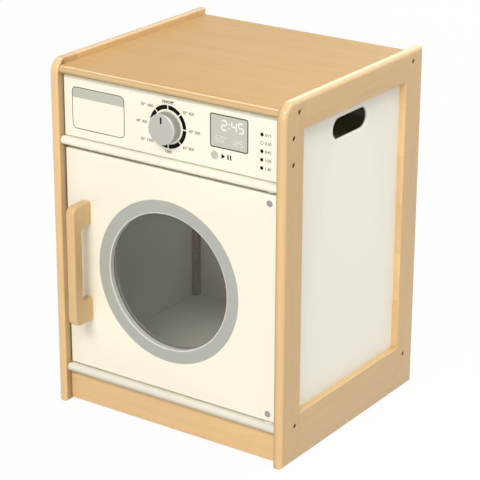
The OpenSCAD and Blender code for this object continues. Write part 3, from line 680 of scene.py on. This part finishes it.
def makeSide(side):
    # two stiles and two rails around the opening; only the front stile has a round corner, at its top
    y0, y1, y2, y3 = frontY, openY0, openY1, backY
    z1, z2, top = openZ0, openZ1, sideHigh.z
    r = sideSpec["cornerRadius"]
    frontStile = [
        (y0, 0, 1, 1, 0, 0, 0, 0), (y1, 0, 0, 1, 0, 0, -1, 0), (y1, z1, 0, 0, 0, -1, -1, 0),
        (y1, z1, 0, 0, -1, -1, 0, 0), (y1, z2, 0, 0, -1, 1, 0, 0), (y1, z2, 0, 0, 0, 1, -1, 0),
        (y1, top, 0, -1, 0, 0, -1, 0)] + freeCorner((y0 + r, top - r), r, 90, 180, 14)
    rearStile = [
        (y2, 0, 0, 1, 0, 0, 1, 0), (y3, 0, -1, 1, 0, 0, 0, 0), (y3, top, -1, -1, 0, 0, 0, 0),
        (y2, top, 0, -1, 0, 0, 1, 0), (y2, z2, 0, 0, 0, 1, 1, 0), (y2, z2, 0, 0, 1, 1, 0, 0),
        (y2, z1, 0, 0, 1, -1, 0, 0), (y2, z1, 0, 0, 0, -1, 1, 0)]
    topRail = [(y1, z2, 0, 0, 0, 1, 1, 0), (y2, z2, 0, 0, 0, 1, -1, 0),
               (y2, top, 0, -1, 0, 0, -1, 0), (y1, top, 0, -1, 0, 0, 1, 0)]
    bottomRail = [(y1, 0, 0, 1, 0, 0, 1, 0), (y2, 0, 0, 1, 0, 0, -1, 0),
                  (y2, z1, 0, 0, 0, -1, -1, 0), (y1, z1, 0, 0, 0, -1, 1, 0)]
    spec = woodSpec[side]

    def wood(name, grain, shift, strip, lighten=1.0, tones=frameTones):
        place = (spec["seed"] + shift[0], shift[1], shift[2])
        return beech(f"{side}{name}Beech", grain, place, stripSpec[strip], lighten, tones)

    stileShift = (0, 0.11, 0.2)
    # the front faces get a lighter copy with painted shade across the left arris, the inner faces a copy
    # with a painted shadow line where the door meets them
    face = wood("Stile", "z", stileShift, "stile", spec["stile"])
    nose = paintShadeAlong(wood("Nose", "z", stileShift, "stile", spec["nose"]), *arrisShadeSpan[side], arrisShadeTones, "X")
    inner = paintShadeAlong(wood("Inner", "z", stileShift, "stile", spec["inner"]), frontY, openY0, innerShadeTones, "Y")
    makeMember("front_stile", frontStile, side, [face, nose, inner], screwSpots["front"])
    # the rear stile's front-facing edge is a lighter copy as painted light; its blocks are the real finger
    # joints
    face = wood("Rear", "z", (0.37, 0.5, 0.1), "stile")
    edge = wood("Edge", "z", (0.9, 0.2, 0.7), "block", spec["edge"], edgeTones)
    makeMember("rear_stile", rearStile, side, [face, edge], screwSpots["rear"])
    makeMember("top_rail", topRail, side, [wood("Rail", "y", (0.71, 0.3, 0.4), "rail", spec["rail"])])
    makeMember("bottom_rail", bottomRail, side, [wood("Skirt", "y", (0.13, 0.7, 0.6), "rail")])


makeSide("right")
makeSide("left")

infillSpec = dict(slotLength=90 * mm, slotHeight=30 * mm, slotDrop=27.5 * mm, corner=0.5 * mm,
                  edge=2.0 * mm)


def makeInfill(side):
    # thin painted panel with an oblong hand slot whose edges are eased on both faces
    spec, low, high, sign = infillSpec, infillLow, infillHigh, sideSign[side]
    deep = high.x - low.x
    outline = roundBox(low.y, high.y, low.z, high.z, spec["corner"], 2)
    middleY, slotZ = (openY0 + openY1) / 2, openZ1 - spec["slotDrop"]
    half, tall = spec["slotLength"] / 2, spec["slotHeight"] / 2
    slot = np.concatenate([arc((middleY + half - tall, slotZ), tall, -90, 90, 20),
                           arc((middleY - half + tall, slotZ), tall, 90, 270, 20)])
    hole = dict(outline=slot, rows=bothFaces(spec["edge"], deep), side="through")
    shape = startShape()
    addSlab(shape, outline, [inward(outline)], [(0, 0), (0, deep)], across(sign * high.x, -sign), [hole])
    finishPiece(f"{side}_infill_eased", shape, [infillPaint], "cabinet",
                [f"{side}_infill_panel"])


makeInfill("right")
makeInfill("left")
print("side frames made")

# boards

topLow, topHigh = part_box("top_board")
panelLow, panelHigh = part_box("control_panel")
shelfLow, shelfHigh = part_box("bottom_shelf")
boardSpec = dict(shadowGap=0.8 * mm, sideGap=1.0 * mm, end=0.3 * mm, rearEdge=1.0 * mm, noseSteps=16,
                 panelCorner=0.4 * mm, panelEdge=0.7 * mm, lip=6.5 * mm, lipEdge=0.7 * mm,
                 lipLighten=1.15, beadDepth=7.0 * mm, plinthLighten=1.07, battenShade=0.46)
# painted light and shade on the lip and on the lower bead, from the bottom upwards: level from 0 to 1, and
# tone; the lip gets painted shade at its bottom and painted highlight lines near its top, the bead painted
# shade at its bottom warmed by painted light reflected from the plinth
lipLightShadeTones = [(0.0, (0.38, 0.42, 0.34)), (0.2, (0.42, 0.46, 0.38)), (0.36, (0.60, 0.66, 0.62)),
            (0.45, (0.74, 0.80, 0.83)), (0.56, (0.76, 0.80, 0.81)), (0.67, (0.82, 0.84, 0.86)),
            (0.79, (0.66, 0.65, 0.66)), (0.91, (0.76, 0.76, 0.77)), (0.95, (1.0, 1.02, 1.08)),
            (0.985, (0.98, 1.0, 1.06)), (1.0, (0.72, 0.71, 0.70))]
beadShadeTones = [(0.0, (0.36, 0.31, 0.23)), (0.12, (0.46, 0.41, 0.33)), (0.3, (0.60, 0.57, 0.49)),
             (0.5, (0.72, 0.71, 0.62)), (0.72, (0.79, 0.79, 0.70)), (0.9, (0.86, 0.85, 0.76))]


def makeTopBoard(spec):
    # section in y and z, drawn from one side frame to the other: the board, and the solid lip on its front
    radius = (topHigh.z - topLow.z) / 2
    middle = (topLow.z + topHigh.z) / 2
    rear, edge = spec["rearEdge"], spec["lipEdge"]
    joint = topLow.y + spec["lip"]
    lip = np.concatenate([
        arc((topLow.y + radius, middle), radius, 90, 270, spec["noseSteps"]),
        [[joint - edge, topLow.z], [joint, topLow.z + edge], [joint, topHigh.z - edge],
         [joint - edge, topHigh.z]]])
    board = np.array([[joint + edge, topHigh.z], [joint, topHigh.z - edge], [joint, topLow.z + edge],
                      [joint + edge, topLow.z]])
    board = np.concatenate([board, arc((topHigh.y - rear, topLow.z + rear), rear, -90, 0, 3),
                            arc((topHigh.y - rear, topHigh.z - rear), rear, 0, 90, 3)])
    wide, end = topHigh.x - topLow.x, spec["end"]
    rows = [(end, 0), (0, end), (0, end * 2), (0, wide - end * 2), (0, wide - end), (end, wide)]
    boardBeech = beech("topBeech", "x", (0.2, 0.13, 0.0), (0.9, 0.09, 0.04), tones=topTones)
    lipBeech = beech("lipBeech", "x", (0.9, 0.43, 0.3), (1.9, 0.09, 0.04), spec["lipLighten"])
    # painted highlight lines and painted shade across the lip's height
    paintShadeAlong(lipBeech, topLow.z, topHigh.z, lipLightShadeTones)
    for name, outline, finish in (("top_board_veneered", board, boardBeech),
                                  ("top_board_lip", lip, lipBeech)):
        shape = startShape()
        addSlab(shape, outline, [inward(outline)], rows, across(topLow.x, 1))
        finishPiece(name, shape, [finish], "cabinet", ["top_board"])


def makeControlPanel(spec):
    # flat board with eased edges, so that its joints with the boards and the sides show as fine lines
    side = spec["sideGap"]
    outline = roundBox(panelLow.x + side, panelHigh.x - side, panelLow.z + spec["shadowGap"], panelHigh.z,
                       spec["panelCorner"], 2)
    rows = np.vstack([softEdge(spec["panelEdge"], 4), [0, panelHigh.y - panelLow.y]])
    shape = startShape()
    addSlab(shape, outline, [inward(outline)], rows, backFrom(panelLow.y))
    finishPiece("control_panel_eased", shape, [creamPaint], "cabinet", ["control_panel"])


def dressNose(node, finish, deep):
    # gives another finish to a board's front edge: the triangles that lie wholly within this depth
    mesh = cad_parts[node].data
    mesh.materials.append(finish)
    points = np.zeros(len(mesh.vertices) * 3)
    mesh.vertices.foreach_get("co", points)
    corners = np.zeros(len(mesh.loops), int)
    mesh.loops.foreach_get("vertex_index", corners)
    rear = points.reshape(-1, 3)[corners, 1].reshape(-1, 3).max(1)
    slots = np.where(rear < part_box(node)[0].y + deep, len(mesh.materials) - 1, 0)
    mesh.polygons.foreach_set("material_index", slots)


makeTopBoard(boardSpec)
makeControlPanel(boardSpec)
dress(creamPaint, "middle_shelf", "bottom_shelf", "back_panel")
# painted shade towards the bottom of the lower bead's front, warmed by painted light reflected from the
# plinth
paintShadeAlong(lowerBeadPaint, shelfLow.z, shelfHigh.z, beadShadeTones)
dressNose("bottom_shelf", lowerBeadPaint, boardSpec["beadDepth"])
dress(beech("plinthBeech", "xFront", (0.5, 0.2, 0.9), (0.7, 0.06, 0.12), boardSpec["plinthLighten"]),
      "plinth")
# the corner battens are plain beech darkened to paint the shade inside the cabinet
dress(beech("battenBeech", "z", (0.9, 0.4, 0.1), lighten=boardSpec["battenShade"]),
      "left_corner_batten", "right_corner_batten")
dress(beech("dowelBeech", "z", (0.1, 0.6, 0.3)), "left_frame_dowels", "right_frame_dowels", "cross_dowels")
dress(screwFinish, "left_side_screws", "right_side_screws")
dress(zincFinish, "control_panel_screws", "back_panel_screws", "catch_screws", "retaining_ring_screws",
      "door_handle_screws", "upper_hinge_bolt", "lower_hinge_bolt", "strike_plate", "strike_plate_screws",
      "knob_spindle", "knob_rear_washer", "knob_lock_nut")
dress(nylonFinish, "upper_hinge_bush", "lower_hinge_bush", "hinge_spacer", "knob_friction_washer")
dress(catchFinish, "magnet_catch")
dress(magnetFinish, "catch_magnet")
dress(smokedPane, "window_pane")
dress(sealPaint, "pane_retaining_ring")
print("boards made")

# door

doorLow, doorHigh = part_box("door_panel")
paneLow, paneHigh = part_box("window_pane")
nutLow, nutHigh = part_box("hinge_barrel_nuts")
handleLow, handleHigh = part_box("door_handle")
faceY = doorLow.y   # the front of the door and of the control panel
portX, portZ = (paneLow.x + paneHigh.x) / 2, (paneLow.z + paneHigh.z) / 2
handleSpec = dict(outer=12 * mm, inner=8 * mm, grip=19 * mm, foot=35.5 * mm, edge=3.2 * mm, lighten=0.98)
nutSpec = dict(x=(nutLow.x + nutHigh.x) / 2, radius=(nutHigh.x - nutLow.x) / 2, faceShare=0.82,
               shoulderShare=0.94, shoulder=0.25 * mm, rim=0.7 * mm)
nutHeights = (nutHigh.z - nutSpec["radius"], nutLow.z + nutSpec["radius"])
doorSpec = dict(gap=0.9 * mm, sideGap=0.3 * mm, corner=1.5 * mm, edge=1.2 * mm, porthole=102 * mm,
                bevel=1.5 * mm, ledge=(paneHigh.x - paneLow.x) / 2 + 0.2 * mm, ledgeDepth=paneLow.y - faceY,
                portSteps=144, ringOuter=122 * mm, ringInner=103.6 * mm, ringSteps=192,
                nutRadius=4.8 * mm, nutDepth=13.2 * mm, nutMouth=0.3 * mm, screwHead=4.1 * mm,
                screwDepth=2.4 * mm, screwMouth=0.2 * mm)
inkSpec = dict(thickness=0.06 * mm, raised=0.05 * mm)


def makeDoor(spec):
    # board with eased edges; the porthole is a short bevel, a bore and a wider rebate for the pane
    gap, deep = spec["gap"], doorHigh.y - doorLow.y
    outline = roundBox(doorLow.x + spec["sideGap"], doorHigh.x, doorLow.z + gap, doorHigh.z - gap,
                       spec["corner"], 4)
    bevel, ledgeOut = spec["bevel"], spec["ledge"] - spec["porthole"]
    holes = [dict(outline=circle(portX, portZ, spec["porthole"], spec["portSteps"]), side="through",
                  slots=[1, 1, 2, 0, 0],
                  rows=[(bevel, 0), (bevel * 0.2, bevel * 0.25), (0, bevel), (0, spec["ledgeDepth"]),
                        (ledgeOut, spec["ledgeDepth"]), (ledgeOut, deep)])]
    for z in nutHeights:
        holes.append(drilled(nutSpec["x"], z, spec["nutRadius"], spec["nutDepth"], spec["nutMouth"]))
    footMiddle = handleSpec["foot"] / 2
    for z in (handleLow.z + footMiddle, handleHigh.z - footMiddle):
        holes.append(drilled((handleLow.x + handleHigh.x) / 2, z, spec["screwHead"], spec["screwDepth"],
                             spec["screwMouth"], "back"))
    shape = startShape()
    addSlab(shape, outline, [inward(outline)], bothFaces(spec["edge"], deep), backFrom(faceY), holes)
    finishPiece("door_panel_eased", shape, [creamPaint, bevelLightPaint, revealShadePaint], "door",
                ["door_panel"])


def inlay(name, shapes, finish, body="cabinet", raised=inkSpec["raised"]):
    # thin printed shapes that stand a little proud of the face; each is (outline, [holes])
    sheet, thickness = startShape(), inkSpec["thickness"]
    for outline, holes in shapes:
        cut = [dict(outline=hole, rows=[(0, 0), (0, thickness)], side="through") for hole in holes]
        addSlab(sheet, outline, [inward(outline)], [(0, 0), (0, thickness)], backFrom(faceY - raised), cut)
    finishPiece(name, sheet, [finish], body)


def makeRing(spec):
    # flat ring between two circles about the porthole's middle
    outer = circle(portX, portZ, spec["ringOuter"], spec["ringSteps"])
    inner = circle(portX, portZ, spec["ringInner"], spec["portSteps"])
    inlay("porthole_ring_print", [(outer, [inner])], ringPaint, "door")


def makeHandle(spec):
    # C-shaped side outline in y and z, carried across the handle's width with rounded edges
    low, high = handleLow, handleHigh
    big, small = spec["outer"], spec["inner"]
    gapY, gapZ0, gapZ1 = low.y + spec["grip"], low.z + spec["foot"], high.z - spec["foot"]
    outline = np.concatenate([
        arc((low.y + big, low.z + big), big, 180, 270, 8), [[high.y, low.z], [high.y, gapZ0]],
        arc((gapY + small, gapZ0 + small), small, 270, 180, 8),
        arc((gapY + small, gapZ1 - small), small, 180, 90, 8),
        [[high.y, gapZ1], [high.y, high.z]], arc((low.y + big, high.z - big), big, 90, 180, 8)])
    # the two feet stay square where they meet the door
    onDoor = outline[:, 0] == high.y
    weights = np.where(onDoor & np.roll(onDoor, -1), 0.0, 1.0)
    shape = startShape()
    addSlab(shape, outline, [inward(outline, weights)], bothFaces(spec["edge"], high.x - low.x, 6),
            across(high.x, -1))
    finish = beech("handleBeech", "z", (1.7, 0.05, 0.45), (0.6, 0.3, 0.1), spec["lighten"])
    finishPiece("door_handle_rounded", shape, [finish], "door", ["door_handle"])


def makeNuts(spec):
    # round nut ends: a flat face, a shallow cone and a steeper one out to the full radius
    shape, r = startShape(), spec["radius"]
    profile = [(r * spec["faceShare"], faceY), (r * spec["shoulderShare"], faceY + spec["shoulder"]),
               (r, faceY + spec["rim"]), (r, nutHigh.y)]
    for z in nutHeights:
        lathe(shape, profile, (spec["x"], z), 48)
    finishPiece("hinge_nuts_turned", shape, [nutFinish], "door", ["hinge_barrel_nuts"])


makeDoor(doorSpec)
makeRing(doorSpec)
makeHandle(handleSpec)
makeNuts(nutSpec)
print("door made")

# knob

knobLow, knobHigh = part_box("program_knob")
knobX, knobZ = (knobLow.x + knobHigh.x) / 2, (knobLow.z + knobHigh.z) / 2
knobSpec = dict(radius=(knobHigh.x - knobLow.x) / 2, edge=1.3 * mm, rearEdge=0.6 * mm, markFrom=7.8 * mm,
                markTo=17.5 * mm, markWidth=2.8 * mm, markThickness=0.1 * mm, markRaised=0.05 * mm)


def makeKnob(spec):
    # turned disc with an eased front edge, and a dark pointer mark let into its face
    front, back, r = knobLow.y, knobHigh.y, spec["radius"]
    soft = softEdge(spec["edge"], 6)
    rear = softEdge(spec["rearEdge"], 3)[::-1]
    profile = np.vstack([np.stack([r - soft[:, 0], front + soft[:, 1]], 1),
                         np.stack([r - rear[:, 0], back - rear[:, 1]], 1)])
    shape = startShape()
    # the eased edge gets the painted highlight, the side the painted shade
    slots = np.where(np.arange(len(profile) - 1) < len(soft) - 2, 2, 1)   # the eased edge, then the side
    lathe(shape, profile, (knobX, knobZ), 128, slots)
    finishPiece("program_knob_turned", shape, [knobFinish, knobShadedSide, knobRimHighlight], "dial",
                ["program_knob"])
    half = spec["markWidth"] / 2
    mark = roundBox(knobX - half, knobX + half, knobZ + spec["markFrom"], knobZ + spec["markTo"],
                    half / 2, 3)
    sheet = startShape()
    addSlab(sheet, mark, [inward(mark)], [(0, 0), (0, spec["markThickness"])],
            backFrom(front - spec["markRaised"]))
    finishPiece("knob_pointer_mark", sheet, [blackInk], "dial")


makeKnob(knobSpec)
print("knob made")

# prints on the control panel

# places and sizes in millimetres: a box is left, right, bottom, top and corner radius, the dial's ring
# is inner and outer radius, gap and number of parts, and the start disc is middle and radius
printSpec = dict(
    drawer=(-169.5, -76.3, 430.0, 491.7, 8.0), drawerLine=1.1, band=476.0,
    display=(69.6, 132.2, 447.8, 495.9, 3.2), displayLine=1.7, digitRaised=0.09,
    dialRing=(25.0, 31.0, 1.7, 8),
    start=(77.0, 436.7, 6.2), play=((88.5, 433.4), (94.6, 437.1), (88.5, 440.8)),
    pauseLefts=(98.2, 102.4), pauseBar=(2.2, 433.6, 440.6, 0.3),
    lampX=154.0, lampHeights=(480.0, 468.3, 456.7, 444.8, 433.2), lampRadius=2.6,
    hollow=1, hollowRadius=1.9)
# digits: text, left end, foot, then the height, width and pitch of a digit and the width of its bars
timeDigits = ("2:45", 89.0, 474.6, 13.4, 7.6, 11.4, 2.1)
smallDigits = [("60", 79.5, 456.8, 8.0, 4.6, 7.4, 1.05), ("125", 103.5, 455.2, 8.0, 4.6, 7.4, 1.05)]
digitSpec = dict(gapShare=0.12, dotShare=0.55, dotLevels=(0.3, 0.7), colonShare=0.42)
degreeRing = (95.4, 464.0, 1.7, 1.0)   # middle, then the outer and the inner radius
labelSpec = dict(
    lampTexts=("0:15", "0:30", "0:45", "1:00", "1:30"), lampTextX=159.0, lampTextDrop=1.9, lampTextHigh=4.2,
    # clockwise from the top; the top one is the switch's label
    dialTexts=("ON/OFF", "30\u00b0 400", "40\u00b0 600", "60\u00b0 800", "1000", "60\u00b0 1200",
               "40\u00b0 900", "30\u00b0 1400"),
    poleReach=36.0, sideReach=35.5, switchDrop=2.4, switchHigh=4.0, dialDrop=1.8, dialHigh=4.3,
    sizeShare=1.38, extrude=0.05, bold=0.07, switchBold=0.24)


def dot(x, z, radius, count=48):
    # round outline given in millimetres
    return circle(x * mm, z * mm, radius * mm, count)


def frameOutline(box, line):
    # round-cornered line of even width
    x0, x1, z0, z1, r = (value * mm for value in box)
    w = line * mm
    return roundBox(x0, x1, z0, z1, r, 8), [roundBox(x0 + w, x1 - w, z0 + w, z1 - w, r - w, 8)]


def drawerBand(box, line, low):
    # top part of the drawer's front, round at its two upper corners
    x0, x1, _, z1, r = (value * mm for value in box)
    w = line * mm
    r -= w
    x0, x1, z1 = x0 + w, x1 - w, z1 - w
    return np.concatenate([[[x0, low * mm], [x1, low * mm]], arc((x1 - r, z1 - r), r, 0, 90, 8),
                           arc((x0 + r, z1 - r), r, 90, 180, 8)]), []


def ringParts(inner, outer, gap, parts):
    # equal pieces of a flat ring, parted by straight gaps of even width
    shapes = []
    for part in range(parts):
        start, end = 90 - part * 360 / parts, 90 - (part + 1) * 360 / parts
        trimOut, trimIn = (math.degrees(math.asin(gap / 2 / r)) for r in (outer, inner))
        out = arc((knobX, knobZ), outer * mm, end + trimOut, start - trimOut, 12)
        back = arc((knobX, knobZ), inner * mm, start - trimIn, end + trimIn, 12)
        shapes.append((np.concatenate([out, back]), []))
    return shapes


# which of the seven bars a digit lights: top, upper right, lower right, bottom, lower left, upper left
# and middle
digitBars = {"0": "1111110", "1": "0110000", "2": "1101101", "3": "1111001", "4": "0110011", "5": "1011011",
             "6": "1011111", "7": "1110000", "8": "1111111", "9": "1111011"}


def bar(start, end, width):
    # six-sided bar with pointed ends between two points
    along = (end - start) / np.linalg.norm(end - start)
    across = np.array([-along[1], along[0]]) * width / 2
    tip = along * width / 2
    return np.array([start, start + tip - across, end - tip - across, end, end - tip + across,
                     start + tip + across])


def digitShapes(text, x, z, high, wide, pitch, width):
    # seven-bar digits from the left, with a small gap at each bar's ends; the colon is two dots
    shapes, spec = [], digitSpec
    for sign in text:
        if sign == ":":
            shapes += [(dot(x, z + high * level, width * spec["dotShare"], 16), [])
                       for level in spec["dotLevels"]]
            x += pitch * spec["colonShare"]
            continue
        corners = np.array([(x, z + high), (x + wide, z + high), (x + wide, z + high / 2), (x + wide, z),
                            (x, z), (x, z + high / 2)])
        ends = [(0, 1), (1, 2), (2, 3), (3, 4), (4, 5), (5, 0), (5, 2)]
        for lit, (start, end) in zip(digitBars[sign], ends):
            if lit == "1":
                a, b = corners[start], corners[end]
                gap = (b - a) / np.linalg.norm(b - a) * width * spec["gapShare"]
                shapes.append((bar((a + gap) * mm, (b - gap) * mm, width * mm), []))
        x += pitch
    return shapes


def numberPrint(name, labels, finish, bold):
    # plain numbers from Blender's own typeface; each label is (text, x, z, height, align)
    sheet, spec = startShape(), labelSpec
    for text, x, z, high, align in labels:
        curve = bpy.data.curves.new(name, "FONT")
        curve.body = text
        curve.size = high * mm * spec["sizeShare"]
        curve.align_x = align
        curve.extrude = spec["extrude"] * mm
        curve.offset = bold * mm
        curve.resolution_u = 3
        holder = bpy.data.objects.new(name, curve)
        show(holder)
        bpy.context.view_layer.update()
        flat = bpy.data.meshes.new_from_object(holder)
        points = np.zeros(len(flat.vertices) * 3)
        flat.vertices.foreach_get("co", points)
        right, up, out = points.reshape(-1, 3).T
        faces = [[sheet["count"] + i for i in face.vertices] for face in flat.polygons]
        sheet["points"].append(np.stack([x * mm + right, faceY - out, z * mm + up], 1))
        sheet["count"] += len(right)
        sheet["faces"] += faces
        sheet["smooth"] += [False] * len(faces)
        sheet["slots"] += [0] * len(faces)
        bpy.data.objects.remove(holder)
        bpy.data.curves.remove(curve)
        bpy.data.meshes.remove(flat)
    finishPiece(name, sheet, [finish], "cabinet")


def makePrints(spec):
    # flat shapes: drawer front, dial ring, display, start disc with its signs, and lamps
    x0, x1, z0, z1, r = spec["display"]
    w = spec["displayLine"]
    fill = roundBox((x0 + w) * mm, (x1 - w) * mm, (z0 + w) * mm, (z1 - w) * mm, (r - w) * mm, 6)
    inlay("drawer_outline_print", [frameOutline(spec["drawer"], spec["drawerLine"])], outlineInk)
    inlay("drawer_band_print", [drawerBand(spec["drawer"], spec["drawerLine"], spec["band"])], greyInk)
    inlay("dial_ring_print", ringParts(*spec["dialRing"]), blackInk)
    inlay("display_outline_print", [frameOutline(spec["display"], w)], outlineInk)
    inlay("display_fill_print", [(fill, [])], displayInk)
    x, z, outer, inner = degreeRing
    small = sum((digitShapes(*digits) for digits in smallDigits), [])
    small.append((dot(x, z, outer, 20), [dot(x, z, inner, 20)]))
    raised = spec["digitRaised"] * mm
    inlay("display_digits_print", digitShapes(*timeDigits), whiteInk, raised=raised)
    inlay("display_small_digits_print", small, paleInk, raised=raised)
    inlay("start_disc_print", [(dot(*spec["start"]), [])], greyInk)
    wide, low, high, corner = (value * mm for value in spec["pauseBar"])
    signs = [np.array(spec["play"]) * mm]
    signs += [roundBox(x * mm, x * mm + wide, low, high, corner, 2) for x in spec["pauseLefts"]]
    inlay("start_sign_print", [(sign, []) for sign in signs], blackInk)
    lamps = [dot(spec["lampX"], z, spec["lampRadius"], 32) for z in spec["lampHeights"]]
    hollow = lamps.pop(spec["hollow"])
    hole = dot(spec["lampX"], spec["lampHeights"][spec["hollow"]], spec["hollowRadius"], 32)
    inlay("lamp_dots_print", [(lamp, []) for lamp in lamps], blackInk)
    inlay("lamp_hollow_print", [(hollow, [hole])], outlineInk)


def makeLabels(spec):
    # times beside the lamps, and numbers at eight even angles around the dial
    numberPrint("lamp_numbers_print", [
        (text, spec["lampTextX"], z - spec["lampTextDrop"], spec["lampTextHigh"], "LEFT")
        for text, z in zip(spec["lampTexts"], printSpec["lampHeights"])], labelInk, spec["bold"])
    around = []
    for i, text in enumerate(spec["dialTexts"]):
        angle = math.radians(90 - i * 45)
        pole = i % 4 == 0
        reach = spec["poleReach"] if pole else spec["sideReach"]
        drop, high = (spec["dialDrop"], spec["dialHigh"]) if i else (spec["switchDrop"], spec["switchHigh"])
        align = "CENTER" if pole else ("LEFT" if i < 4 else "RIGHT")
        around.append((text, knobX / mm + reach * math.cos(angle),
                       knobZ / mm + reach * math.sin(angle) - drop, high, align))
    numberPrint("switch_label_print", around[:1], labelInk, spec["switchBold"])
    numberPrint("dial_numbers_print", around[1:], labelInk, spec["bold"])


makePrints(printSpec)
makeLabels(labelSpec)
print("prints made")
